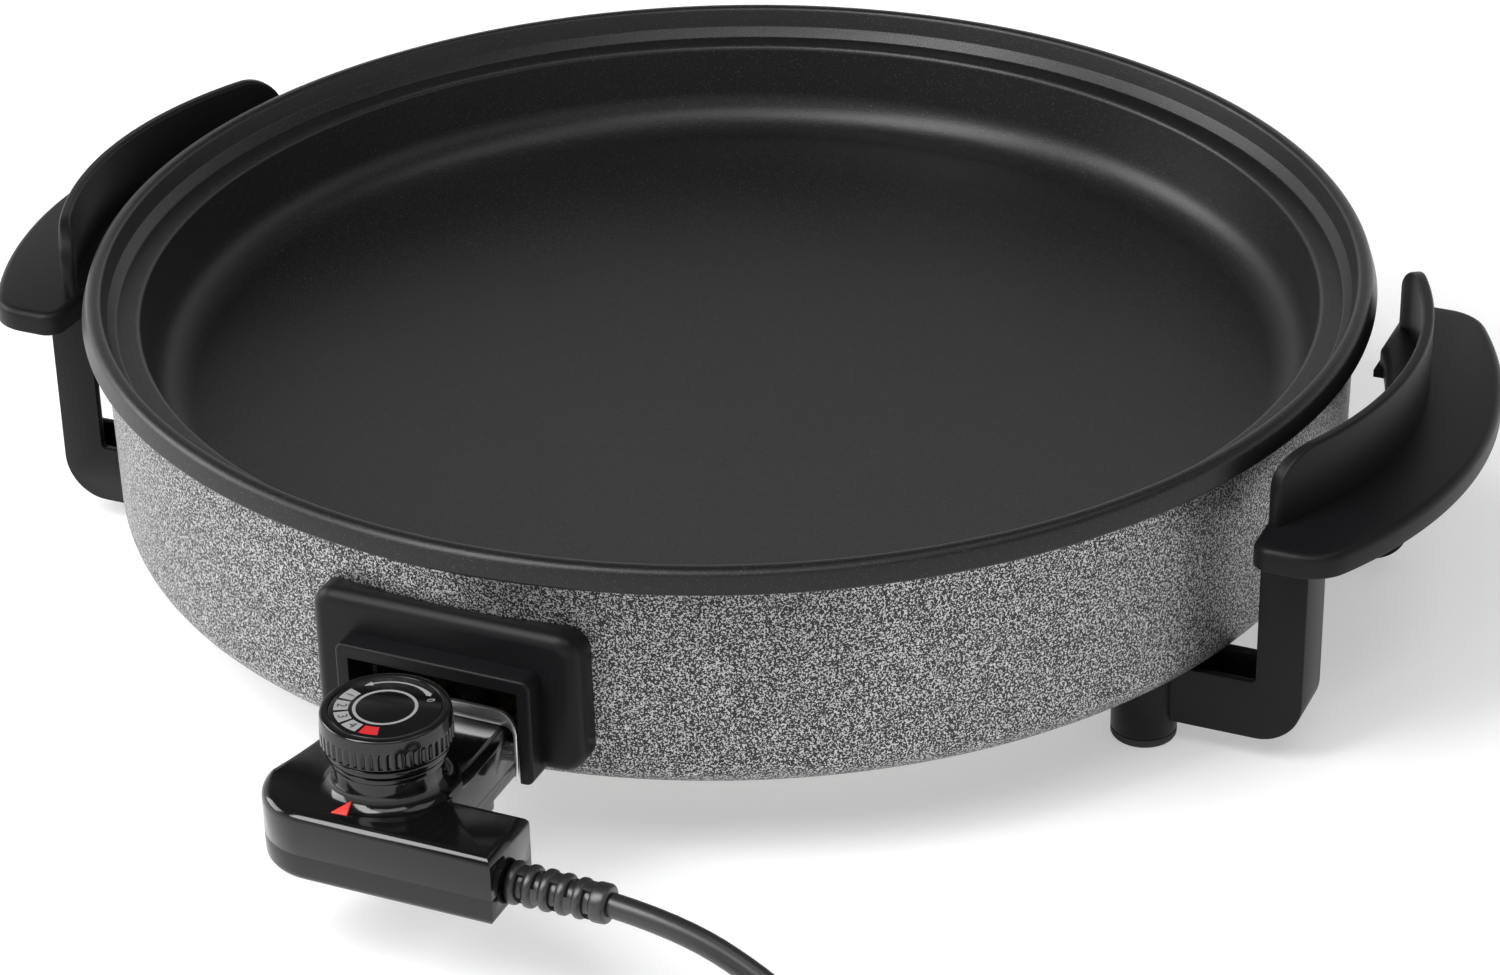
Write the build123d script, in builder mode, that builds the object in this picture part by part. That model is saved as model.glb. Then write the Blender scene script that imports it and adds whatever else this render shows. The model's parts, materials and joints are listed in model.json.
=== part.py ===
"""Round electric skillet with a plug-in thermostat probe, two moulded grips and four legs.

Millimetres, +Z up, the table at z = 0.  The probe leaves the front, towards -Y, and the grips
stand at +X and -X.  The origin is on the table, at the middle of the footprint from the probe's
front face to the back of the rim, so the pan's own axis stands at y = axis_y.
Distances called "reach" are measured from the pan's axis towards the front.
"""
from build123d import *
from math import asin, atan2, cos, degrees, hypot, pi, radians, sin, tan
import os

os.makedirs("parts", exist_ok=True)

# ---------------------------------------------------------------- driving dimensions: the pan
rim_r = 203.0            # outermost edge of the rim bead
rim_z = 104.1            # top of the rim
bead_drop = 7.2          # height of the bead's outer face
bead_corner = 0.8
crest_inset = 2.2        # outermost edge of the rim to the outer edge of its crest
crest_w = 4.2
crest_out_corner = 3.0
crest_in_corner = 1.8
step_run = 1.6           # crest to the small step inside the rim
step_drop = 6.5
step_corner = 1.2
ledge_inset = 10.5       # outermost edge of the rim to the ledge that a lid would rest on
ledge_drop = 9.8
ledge_w = 7.5
ledge_corner = 0.8
lip_corner = 2.0         # between the ledge and the bowl's wall
wall_lean = 2.5          # how much narrower the bowl is at its foot
bowl_depth = 38.5        # rim to cooking floor
floor_fillet = 13.0
cast_wall = 3.0          # thickness of the cast wall
cast_floor = 3.5         # thickness of the cast floor

# ---------------------------------------------------------------- driving dimensions: the body
shell_inset = 6.5        # outermost edge of the rim to the hammertone wall's outside face
shell_draft = 1.0        # how much narrower the wall is at the bottom
shell_wall = 1.2
shell_z = 27.3           # underside of the body
shell_corner = 11.0
shell_flange = 46.5      # wall to the round opening in the shell's bottom
plate_lap = 10.0         # how far the base plate laps over the shell's bottom
plate_wall = 1.2
plate_dish = 2.4         # height of the base plate's pressed middle
plate_dish_r = 62.0
plate_ease = 0.5         # the pressed step's inner side lies this much further in
vent_ring_r = 112.0
vent_count = 12
vent_turn = 15.0         # angle of the first vent
vent_length = 34.0
vent_width = 4.0
seat_gap = 0.2           # clearance where one curved wall seats on another

# ---------------------------------------------------------------- driving dimensions: heating
element_ring_r = 112.0   # middle line of the heating ring
element_w = 8.0
element_h = 7.0
element_fold = 14.0      # half the distance between the two cold ends
clip_wall = 1.2
clip_length = 12.0
clip_foot = 8.0
clip_gap = 0.3
clip_angles = (90, 210, 330)
clip_stud_r = 1.8
clip_nut_af = 6.0        # across the flats
clip_nut_h = 2.4
thread_proud = 1.0       # how far a thread stands out of its nut
stud_r = 4.0             # central stud that holds the base plate
stud_boss_r = 9.0
stud_boss_h = 5.0
stud_proud = 2.0
stud_lead = 0.8
base_nut_af = 14.0
base_nut_h = 5.0

# ---------------------------------------------------------------- driving dimensions: socket
socket_z = 44.5          # height of the probe's axis
block_w = 42.0
block_h = 20.0
block_depth = 18.0
block_inset = 16.5       # body's wall to the block's front
block_corner = 2.0
bracket_foot = 9.0
bracket_wall = 1.4
pin_r = 2.3
pin_pitch = 24.0
pin_tail = 6.0           # length of a pin behind the block
pin_grip = 12.0          # how far a pin reaches into its sleeve
pin_lead = 0.6
rod_r = 3.0
rod_depth = 32.0         # how far the probe's tip reaches into its boss
rod_lead = 0.8
slide_gap = 0.06         # radial clearance of each sliding fit
probe_boss_gap = 10.0    # terminal block to the cast boss behind it
probe_boss_w = 16.0
probe_boss_length = 38.0
probe_boss_under = 4.0   # metal below the probe
probe_boss_corner = 3.0
bore_spare = 2.0         # the bore is this much deeper than the probe
window_w = 52.0
window_drop = 4.5        # probe's axis to the lower and upper edge of the wall's window
window_rise = 17.5
window_corner = 3.0
guard_w = 84.0           # moulded guard round the socket
guard_drop = 7.5
guard_rise = 37.5
guard_stand = 5.0        # how far its face stands out of the wall
guard_corner = 7.0
guard_edge = 4.4
guard_root = 14.0        # depth of the moulding before it is fitted to the round wall
hood_w = 61.0
hood_drop = 8.3
hood_rise = 25.7
hood_stand = 12.2
hood_wall = 4.0
hood_roof = 4.2
hood_corner = 2.6
hood_edge = 0.9
guard_screw_depth = 4.0

# ---------------------------------------------------------------- driving dimensions: grips, legs
grip_in_r = 121.0        # inner edge of the crescent
grip_depth = 34.0
grip_end_y = 84.0
grip_lap = 1.0           # the crescent's straight ends start this far inside the legs
grip_top_z = 83.0
grip_wall = 7.5
grip_edge = 2.6
grip_corner_out = 15.0
grip_corner_in = 6.0
finger_gap = 14.0        # rim to the upright finger guard, at the middle of the grip
finger_inset = 6.0       # crescent's inner edge to the finger guard
finger_depth = 6.0       # length of its turned-in ends
finger_blade = 3.6       # its thickness between them
finger_return = 4.4      # thickness of the turned-in ends
finger_sweep = 33.8      # half the angle that it spans
finger_top_z = 105.5
finger_shoulder = 13.0
finger_bend_out = 4.5
finger_bend_in = 2.5
finger_edge = 1.2
leg_gap = 0.5            # body's wall to the legs
leg_d = 14.5             # depth and width of the legs
leg_w = 19.0
leg_y = 57.5
leg_wall = 2.6
leg_corner = 14.0
leg_crook = 1.5
arm_z = 8.0              # underside of the arm below the body
foot_inset = 35.0        # legs to the feet's middle, towards the pan's axis
foot_step = 6.0          # and outwards along Y
foot_r = 10.0
pad_h = 3.0
pad_edge = 1.6
screw_r = 2.0
screw_head_r = 3.8
screw_head_h = 2.6
screw_recess = 9.0
hole_gap = 0.15
grip_screw_depth = 4.5
grip_screw_spare = 0.5   # empty thread above the screw's end
leg_nut_af = 7.0
leg_nut_h = 3.2

# ---------------------------------------------------------------- driving dimensions: thermostat
neck_gap = 3.5           # body's wall to the neck's end
neck_length = 18.0       # neck's end to where the underside steps down
neck_w = 45.0
neck_flare = 1.0         # the neck's left side opens by this much
neck_flare_length = 10.0
neck_draft = 0.4         # and its right side by this much
neck_corner_left = 7.0
neck_corner_right = 8.0
crook_corner = 7.0       # round inner corner between neck and arm
arm_corner_back = 4.0
arm_corner_front = 2.5
housing_length = 68.0    # neck's end to the front face
arm_depth = 24.0         # front to back of the cord's arm
housing_left = 30.2      # how far it reaches to the left and right of the probe
housing_right = 47.3
housing_nose_r = 19.2    # big round corner at the front left
nose_blend = 4.0
flank_back = 33.0        # front face to the middle of the hollow left flank
flank_bow = 0.25
housing_wall = 2.2
housing_edge = 3.0
base_drop = 13.5         # probe's axis to the underside
neck_drop = 8.9          # probe's axis to the neck's underside
parting_drop = 4.5
top_rise = 8.5           # probe's axis to the top face
band_back = 5.0          # neck's end to the steel band round the neck
band_length = 1.5
band_stand = 4.9         # how far the band stands up above the neck, and out of its sides
band_side = 1.3
band_corner = 7.0
band_gap = 0.1
knob_x = 4.5
knob_inset = 25.0        # front face to the knob's axis
pedestal_r = 15.2
pedestal_h = 8.5
pedestal_flare = 4.5
knob_r = 18.4
knob_h = 15.2
knob_edge = 1.2
skirt_h = 9.4            # height of the knob's widest part
skirt_edge = 0.4
flute_drop = 2.4         # knob's top to the top of its flutes
flute_count = 48
flute_r = 0.75
flute_out = 0.15         # the flutes' axes lie this far outside the skirt
collar_r = 17.2
collar_foot_r = 16.2
collar_foot_h = 1.8
collar_ring_h = 2.2
collar_groove = 0.9      # depth and height of the grooves round the collar
collar_groove_h = 0.8
dial_r = 15.6
dial_h = 0.8
dial_gap = 0.1
shaft_r = 3.0
shaft_seat = 0.8         # switch to the shaft's foot
shaft_cover = 4.0        # knob's top to the shaft's top
knob_gap = 0.3
sleeve_wall = 1.2
sleeve_length = 20.0
sleeve_spare = 1.0
lens_tip = (-3.6, 0.4)   # the pointer's corners, from the knob's axis and the pedestal's front
lens_left = (-7.7, 4.8)
lens_right = (-2.9, 4.6)
lens_sink = 1.2          # bottom of the pointer's pocket below the top face
lens_tip_rise = 2.2      # the pointer's top slopes from its tip to its base
lens_base_rise = 0.25
lens_end = 1.0
switch_w = 26.0
switch_d = 24.0
switch_h = 11.0
switch_corner = 1.5
case_screw_r = 1.5
case_screw_head_r = 2.7
case_screw_head_h = 2.0
case_screw_recess = 3.0
case_screw_length = 11.0
case_screw_spare = 1.0
case_boss_r = 3.6
nose_screw = (11.2, 18.0)    # in from the left side and from the front face
arm_screw = (14.3, 6.5)      # in from the right side and from the front face
neck_screw = (15.5, 18.0)    # right of the probe, and from the knob's axis towards the neck

# ---------------------------------------------------------------- driving dimensions: cord, plug
cord_d = 7.0
cord_inset = 12.0        # front face to the cord's middle
cord_drop = 5.5          # probe's axis to the cord's middle
cord_lift = 0.1          # the cord lies this far above the table
relief_length = 29.7
relief_r = 6.2           # over the ribs at the housing
relief_tip_r = 5.6
relief_core_r = 4.6
relief_ribs = 6
relief_round = 0.4
relief_land = 0.62       # share of each rib's pitch where it is full, and where it has ended
relief_slope = 0.7
relief_flange_r = 5.5
relief_flange_h = 2.0
coil_x = 195.0           # middle of the coiled spare cord
coil_reach = 317.0
coil_r = 38.5            # middle of its turns
coil_entry = 75.0        # angle at which the cord joins it
coil_tail = 30.0
plug_r = 18.5
plug_face = 17.0         # thickness of the plug's round front
plug_length = 44.0
plug_grip_r = 9.0
plug_grip_swell = 2.0
plug_throat = 6.0
plug_corner = 2.5
plug_face_edge = 1.0
plug_relief_r = 4.4
plug_relief_swell = 1.6
plug_relief_length = 24.0
plug_pin_r = 2.4
plug_pin_length = 19.0
plug_pin_pitch = 19.0
plug_pin_nose = 1.2
plug_notch_w = 6.0
plug_notch_depth = 4.0
plug_notch_spare = 1.0
plug_clip_w = 4.0
plug_clip_h = 1.0
plug_clip_back = 1.0

# ---------------------------------------------------------------- derived places
floor_z = rim_z - bowl_depth
floor_under = floor_z - cast_floor
bead_z = rim_z - bead_drop
step_z = rim_z - step_drop
ledge_z = rim_z - ledge_drop
ledge_under = ledge_z - cast_wall
crest_out_r = rim_r - crest_inset
crest_in_r = crest_out_r - crest_w
step_r = crest_in_r - step_run
ledge_r = rim_r - ledge_inset
wall_top_r = ledge_r - ledge_w
wall_foot_r = wall_top_r - wall_lean
shell_r = rim_r - shell_inset
shell_in_r = shell_r - shell_wall
shell_floor = shell_z + shell_wall
shell_mouth_r = shell_r - shell_flange
plate_r = shell_mouth_r + plate_lap

block_front_reach = shell_r - block_inset
block_back_reach = block_front_reach - block_depth
block_under = socket_z - block_h / 2
probe_boss_reach = block_back_reach - probe_boss_gap
rod_end_reach = probe_boss_reach - rod_depth
window_low_z = socket_z - window_drop
window_high_z = socket_z + window_rise
guard_low_z = socket_z - guard_drop
guard_high_z = socket_z + guard_rise
guard_mid_z = (guard_low_z + guard_high_z) / 2
guard_face_reach = shell_r + guard_stand
guard_root_reach = shell_r - guard_root
guard_screw_angle = degrees(asin((guard_w + hood_w) / 4 / shell_r))
hood_low_z = socket_z - hood_drop
hood_high_z = socket_z + hood_rise
hood_reach = shell_r + hood_stand

leg_in_x = shell_r + leg_gap
leg_out_x = leg_in_x + leg_d
leg_mid_x = (leg_in_x + leg_out_x) / 2
foot_x = leg_in_x - foot_inset
foot_y = leg_y + foot_step
grip_in_x = leg_in_x - grip_lap
grip_out_r = grip_in_r + grip_depth
grip_under = grip_top_z - grip_wall
finger_in_r = grip_in_r + finger_inset
finger_out_r = finger_in_r + finger_depth
arc_centre_x = rim_r + finger_gap - finger_in_r
sides = {"left": -1, "right": 1}
ends = {"front": -1, "rear": 1}
foot_points = [(s * foot_x, e * foot_y) for s in sides.values() for e in ends.values()]
grip_points = [(s * leg_mid_x, e * leg_y) for s in sides.values() for e in ends.values()]

neck_reach = shell_r + neck_gap
neck_foot_reach = neck_reach + neck_length
housing_front = neck_reach + housing_length
housing_back = housing_front - arm_depth
housing_z = socket_z - base_drop
neck_z = socket_z - neck_drop
parting_z = socket_z - parting_drop
housing_top_z = socket_z + top_rise
pin_front_reach = neck_reach + pin_grip
knob_reach = housing_front - knob_inset
pedestal_z = housing_top_z + pedestal_h
knob_foot = pedestal_z + knob_gap
knob_z = knob_foot + knob_h
skirt_z = knob_z - skirt_h
flute_top_z = knob_z - flute_drop
shaft_foot_z = housing_z + housing_wall + switch_h + shaft_seat
shaft_top_z = knob_z - shaft_cover
lens_floor_z = housing_top_z - lens_sink
lens_corners = [(knob_x + x, -knob_reach - pedestal_r - y) for x, y in (lens_tip, lens_left, lens_right)]
case_screw_points = [
    (-housing_left + nose_screw[0], -housing_front + nose_screw[1]),
    (housing_right - arm_screw[0], -housing_front + arm_screw[1]),
    (neck_screw[0], -knob_reach + neck_screw[1]),
]
cord_reach = housing_front - cord_inset
cord_z = socket_z - cord_drop
cord_r = cord_d / 2

axis_y = (housing_front - rim_r) / 2
pan_axis = Axis((0, axis_y, 0), (0, 0, 1))
section = Plane(origin=(0, axis_y, 0), x_dir=(1, 0, 0), z_dir=(0, -1, 0))


def level(z):
    """Horizontal plane at height z, centred on the pan's axis."""
    return Plane(origin=(0, axis_y, z))


def front(reach, x=0.0, z=0.0):
    """Upright plane that looks to the front, reach out from the pan's axis."""
    return Plane(origin=(x, axis_y - reach, z), x_dir=(1, 0, 0), z_dir=(0, -1, 0))


def radial(angle, r, z):
    """Upright plane that looks outward from the pan's axis, angle counted from the front."""
    out = (sin(radians(angle)), -cos(radians(angle)), 0)
    return Plane(origin=(r * out[0], axis_y + r * out[1], z), x_dir=(-out[1], out[0], 0), z_dir=out)


def wall_r(z):
    """Outside radius of the body's wall at height z."""
    return shell_r - shell_draft * (bead_z - z) / (bead_z - shell_z)


def bow(side, r, sweep):
    """Point on one grip's crescent arcs, sweep degrees round from the middle of the grip."""
    return (side * (arc_centre_x + r * cos(radians(sweep))), r * sin(radians(sweep)))


def bow_sector(side, inner_r, outer_r, sweep):
    """Flat slice of one grip's crescent between two radii, sweep degrees to each side of its middle."""
    with BuildSketch(Plane.XY, mode=Mode.PRIVATE) as slice_plan:
        with BuildLine():
            inner = [bow(side, inner_r, angle) for angle in (-sweep, 0, sweep)]
            outer = [bow(side, outer_r, angle) for angle in (-sweep, 0, sweep)]
            ThreePointArc(*inner)
            ThreePointArc(*outer)
            Line(inner[0], outer[0])
            Line(inner[2], outer[2])
        make_face()
    return slice_plan.sketch


def upright_edges(part, side):
    """Upright edges of a finger guard's part, those furthest from the crescent's centre first."""
    centre_x = side * arc_centre_x
    edges = part.edges().filter_by(Axis.Z)
    return edges.sort_by(lambda e: -hypot(e.center().X - centre_x, e.center().Y - axis_y))


def keep(part, name):
    """Label a finished piece and write its STEP file."""
    part.label = name
    export_step(part, f"parts/{name}.step")


# ================================================================ the pan
with BuildPart() as pan_casting:
    with BuildSketch(section) as bowl:
        with BuildLine():
            Polyline(
                (0, floor_z),
                (wall_foot_r, floor_z),
                (wall_top_r, ledge_z),
                (ledge_r, ledge_z),
                (step_r, step_z),
                (crest_in_r, rim_z),
                (crest_out_r, rim_z),
                (rim_r, bead_z),
                (shell_in_r - seat_gap, bead_z),
                (shell_in_r - seat_gap, ledge_under),
                (wall_top_r + cast_wall, ledge_under),
                (wall_foot_r + cast_wall, floor_under),
                (0, floor_under),
                close=True,
            )
        make_face()
        corners = bowl.vertices()
        fillet(corners.sort_by_distance((wall_foot_r, floor_z))[0], floor_fillet)
        outer_foot = (wall_foot_r + cast_wall, floor_under)
        fillet(corners.sort_by_distance(outer_foot)[0], floor_fillet + cast_wall)
        fillet(corners.sort_by_distance((wall_top_r, ledge_z))[0], lip_corner)
        fillet(corners.sort_by_distance((crest_out_r, rim_z))[0], crest_out_corner)
        fillet(corners.sort_by_distance((crest_in_r, rim_z))[0], crest_in_corner)
        fillet(corners.sort_by_distance((rim_r, bead_z))[0], bead_corner)
        fillet(corners.sort_by_distance((ledge_r, ledge_z))[0], ledge_corner)
        fillet(corners.sort_by_distance((step_r, step_z))[0], step_corner)
    revolve(axis=pan_axis)
    # boss for the central stud
    with BuildSketch(level(floor_under)):
        Circle(stud_boss_r)
    extrude(amount=-stud_boss_h)
    # block that brings the probe's tip against the floor
    with BuildSketch(level(floor_under)):
        with Locations((0, -probe_boss_reach + probe_boss_length / 2)):
            RectangleRounded(probe_boss_w, probe_boss_length, probe_boss_corner)
    extrude(amount=socket_z - rod_r - probe_boss_under - floor_under)
    with BuildSketch(front(probe_boss_reach, z=socket_z)):
        Circle(rod_r + slide_gap)
    extrude(amount=-(rod_depth + bore_spare), mode=Mode.SUBTRACT)
    # studs for the element clips
    clip_span = element_w / 2 + clip_gap + clip_wall + clip_foot / 2
    for angle in clip_angles:
        for r in (element_ring_r - clip_span, element_ring_r + clip_span):
            with BuildSketch(level(floor_under)):
                with Locations((r * cos(radians(angle)), r * sin(radians(angle)))):
                    Circle(clip_stud_r)
            extrude(amount=-(clip_wall + clip_nut_h + thread_proud))
keep(pan_casting.part, "pan_casting")

# ================================================================ the body
with BuildPart() as outer_shell:
    with BuildSketch(section) as wall:
        with BuildLine():
            Polyline(
                (shell_in_r, bead_z),
                (shell_in_r - shell_draft, shell_floor),
                (shell_mouth_r, shell_floor),
                (shell_mouth_r, shell_z),
                (shell_r - shell_draft, shell_z),
                (shell_r, bead_z),
                close=True,
            )
        make_face()
        corners = wall.vertices()
        fillet(corners.sort_by_distance((shell_r - shell_draft, shell_z))[0], shell_corner)
        inner_foot = (shell_in_r - shell_draft, shell_floor)
        fillet(corners.sort_by_distance(inner_foot)[0], shell_corner - shell_wall)
    revolve(axis=pan_axis)
    with BuildSketch(front(block_front_reach, z=(window_low_z + window_high_z) / 2)):
        RectangleRounded(window_w, window_drop + window_rise, window_corner)
    extrude(amount=block_inset + hood_stand, mode=Mode.SUBTRACT)
    with BuildSketch(level(shell_z)):
        with Locations(*foot_points):
            Circle(screw_r + hole_gap)
    extrude(amount=shell_wall, mode=Mode.SUBTRACT)
    for side in sides.values():
        with BuildSketch(radial(side * guard_screw_angle, shell_in_r - screw_head_h, guard_mid_z)):
            Circle(screw_r + hole_gap)
        extrude(amount=shell_wall + 2 * screw_head_h, mode=Mode.SUBTRACT)
keep(outer_shell.part, "outer_shell")

with BuildPart() as base_plate:
    with BuildSketch(section) as dish:
        with BuildLine():
            Polyline(
                (stud_r + hole_gap, shell_z - plate_wall + plate_dish),
                (plate_dish_r, shell_z - plate_wall + plate_dish),
                (plate_dish_r + plate_dish, shell_z - plate_wall),
                (plate_r, shell_z - plate_wall),
                (plate_r, shell_z),
                (plate_dish_r + plate_dish - plate_ease, shell_z),
                (plate_dish_r - plate_ease, shell_z + plate_dish),
                (stud_r + hole_gap, shell_z + plate_dish),
                close=True,
            )
        make_face()
    revolve(axis=pan_axis)
    with BuildSketch(level(shell_z - plate_wall)):
        with PolarLocations(vent_ring_r, vent_count, start_angle=vent_turn):
            SlotOverall(vent_length, vent_width)
    extrude(amount=plate_wall, mode=Mode.SUBTRACT)
keep(base_plate.part, "base_plate")

plate_under = shell_z - plate_wall + plate_dish
with BuildPart() as base_stud:
    with BuildSketch(level(floor_under - stud_boss_h)):
        Circle(stud_r)
    extrude(amount=-(floor_under - stud_boss_h - plate_under + base_nut_h + stud_proud))
    chamfer(base_stud.edges().sort_by(Axis.Z)[0], stud_lead)
keep(base_stud.part, "base_stud")

with BuildPart() as base_nut:
    with BuildSketch(level(plate_under)):
        RegularPolygon(base_nut_af / 2, 6, major_radius=False)
        Circle(stud_r + hole_gap, mode=Mode.SUBTRACT)
    extrude(amount=-base_nut_h)
keep(base_nut.part, "base_nut")

# ================================================================ heating element
with BuildPart() as heating_element:
    turn = degrees(atan2(element_fold, element_ring_r))
    start = (element_ring_r * sin(radians(turn)), -element_ring_r * cos(radians(turn)))
    with BuildLine(level(floor_under)) as element_path:
        Line((-start[0], -block_back_reach), (-start[0], start[1]))
        ThreePointArc((-start[0], start[1]), (0, element_ring_r), start)
        Line(start, (start[0], -block_back_reach))
    with BuildSketch(front(block_back_reach, x=-start[0], z=floor_under)):
        with BuildLine():
            half = element_w / 2
            flank = element_h - half
            Polyline((-half, -flank), (-half, 0), (half, 0), (half, -flank))
            ThreePointArc((half, -flank), (0, -element_h), (-half, -flank))
        make_face()
    sweep(path=element_path.wires()[0], transition=Transition.RIGHT)
keep(heating_element.part, "heating_element")

clip_in_w = element_w / 2 + clip_gap
clip_out_w = clip_in_w + clip_wall
clip_drop = element_h + clip_gap
with BuildPart() as element_clips:
    for angle in clip_angles:
        out = (cos(radians(angle)), sin(radians(angle)), 0)
        across = Plane(
            origin=(element_ring_r * out[0] - clip_length / 2 * -out[1],
                    axis_y + element_ring_r * out[1] - clip_length / 2 * out[0],
                    floor_under),
            x_dir=out,
            z_dir=(out[1], -out[0], 0),
        )
        with BuildSketch(across):
            with BuildLine():
                Polyline(
                    (-clip_out_w - clip_foot, 0),
                    (-clip_in_w, 0),
                    (-clip_in_w, -clip_drop),
                    (clip_in_w, -clip_drop),
                    (clip_in_w, 0),
                    (clip_out_w + clip_foot, 0),
                    (clip_out_w + clip_foot, -clip_wall),
                    (clip_out_w, -clip_wall),
                    (clip_out_w, -clip_drop - clip_wall),
                    (-clip_out_w, -clip_drop - clip_wall),
                    (-clip_out_w, -clip_wall),
                    (-clip_out_w - clip_foot, -clip_wall),
                    close=True,
                )
            make_face()
        extrude(amount=-clip_length)
    for angle in clip_angles:
        for r in (element_ring_r - clip_span, element_ring_r + clip_span):
            with BuildSketch(level(floor_under)):
                with Locations((r * cos(radians(angle)), r * sin(radians(angle)))):
                    Circle(clip_stud_r + hole_gap)
            extrude(amount=-clip_wall, mode=Mode.SUBTRACT)
keep(element_clips.part, "element_clips")

with BuildPart() as clip_nuts:
    for angle in clip_angles:
        for r in (element_ring_r - clip_span, element_ring_r + clip_span):
            with BuildSketch(level(floor_under - clip_wall)):
                with Locations((r * cos(radians(angle)), r * sin(radians(angle)))):
                    RegularPolygon(clip_nut_af / 2, 6, major_radius=False)
                    Circle(clip_stud_r + hole_gap, mode=Mode.SUBTRACT)
            extrude(amount=-clip_nut_h)
keep(clip_nuts.part, "clip_nuts")

# ================================================================ probe socket
with BuildPart() as terminal_block:
    with BuildSketch(front(block_back_reach, z=socket_z)):
        RectangleRounded(block_w, block_h, block_corner)
        Circle(rod_r + slide_gap, mode=Mode.SUBTRACT)
        with Locations((-pin_pitch / 2, 0), (pin_pitch / 2, 0)):
            Circle(pin_r, mode=Mode.SUBTRACT)
    extrude(amount=block_depth)
keep(terminal_block.part, "terminal_block")

with BuildPart() as terminal_pins:
    with BuildSketch(front(block_back_reach - pin_tail, z=socket_z)):
        with Locations((-pin_pitch / 2, 0), (pin_pitch / 2, 0)):
            Circle(pin_r)
    extrude(amount=pin_front_reach - block_back_reach + pin_tail)
    chamfer(terminal_pins.edges().group_by(Axis.Y)[0], pin_lead)
keep(terminal_pins.part, "terminal_pins")

with BuildPart() as terminal_bracket:
    with BuildSketch(front(block_back_reach)):
        with BuildLine():
            half = block_w / 2
            Polyline(
                (-half - bracket_foot, shell_floor),
                (-half, shell_floor),
                (-half, block_under - bracket_wall),
                (half, block_under - bracket_wall),
                (half, shell_floor),
                (half + bracket_foot, shell_floor),
                (half + bracket_foot, shell_floor + bracket_wall),
                (half + bracket_wall, shell_floor + bracket_wall),
                (half + bracket_wall, block_under),
                (-half - bracket_wall, block_under),
                (-half - bracket_wall, shell_floor + bracket_wall),
                (-half - bracket_foot, shell_floor + bracket_wall),
                close=True,
            )
        make_face()
    extrude(amount=block_depth)
keep(terminal_bracket.part, "terminal_bracket")

with BuildPart() as socket_guard:
    with BuildSketch(front(guard_root_reach, z=guard_mid_z)):
        RectangleRounded(guard_w, guard_drop + guard_rise, guard_corner)
    extrude(amount=guard_root + guard_stand)
    fillet(socket_guard.edges().group_by(Axis.Y)[0], guard_edge)
    with BuildSketch(front(guard_root_reach, z=(hood_low_z + hood_high_z) / 2)):
        RectangleRounded(hood_w, hood_drop + hood_rise, hood_corner)
    extrude(amount=guard_root + hood_stand)
    fillet(socket_guard.edges().group_by(Axis.Y)[0], hood_edge)
    with BuildSketch(front(guard_root_reach)):
        with Locations((0, (hood_high_z - hood_roof) / 2)):
            Rectangle(hood_w - 2 * hood_wall, hood_high_z - hood_roof)
    extrude(amount=guard_root + hood_stand, mode=Mode.SUBTRACT)
    # the back follows the body's wall
    with BuildSketch(section):
        with BuildLine():
            Polyline(
                (0, shell_z),
                (wall_r(shell_z) + seat_gap, shell_z),
                (wall_r(bead_z) + seat_gap, bead_z),
                (0, bead_z),
                close=True,
            )
        make_face()
    revolve(axis=pan_axis, mode=Mode.SUBTRACT)
    for side in sides.values():
        with BuildSketch(radial(side * guard_screw_angle, shell_r - shell_draft, guard_mid_z)):
            Circle(screw_r)
        extrude(amount=guard_screw_depth + shell_draft, mode=Mode.SUBTRACT)
keep(socket_guard.part, "socket_guard")

with BuildPart() as guard_screws:
    for side in sides.values():
        seat_r = wall_r(guard_mid_z) - shell_wall - seat_gap
        with BuildSketch(radial(side * guard_screw_angle, seat_r, guard_mid_z)):
            Circle(screw_head_r)
        extrude(amount=-screw_head_h)
        with BuildSketch(radial(side * guard_screw_angle, seat_r, guard_mid_z)):
            Circle(screw_r)
        extrude(amount=shell_wall + guard_screw_depth)
keep(guard_screws.part, "guard_screws")

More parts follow.
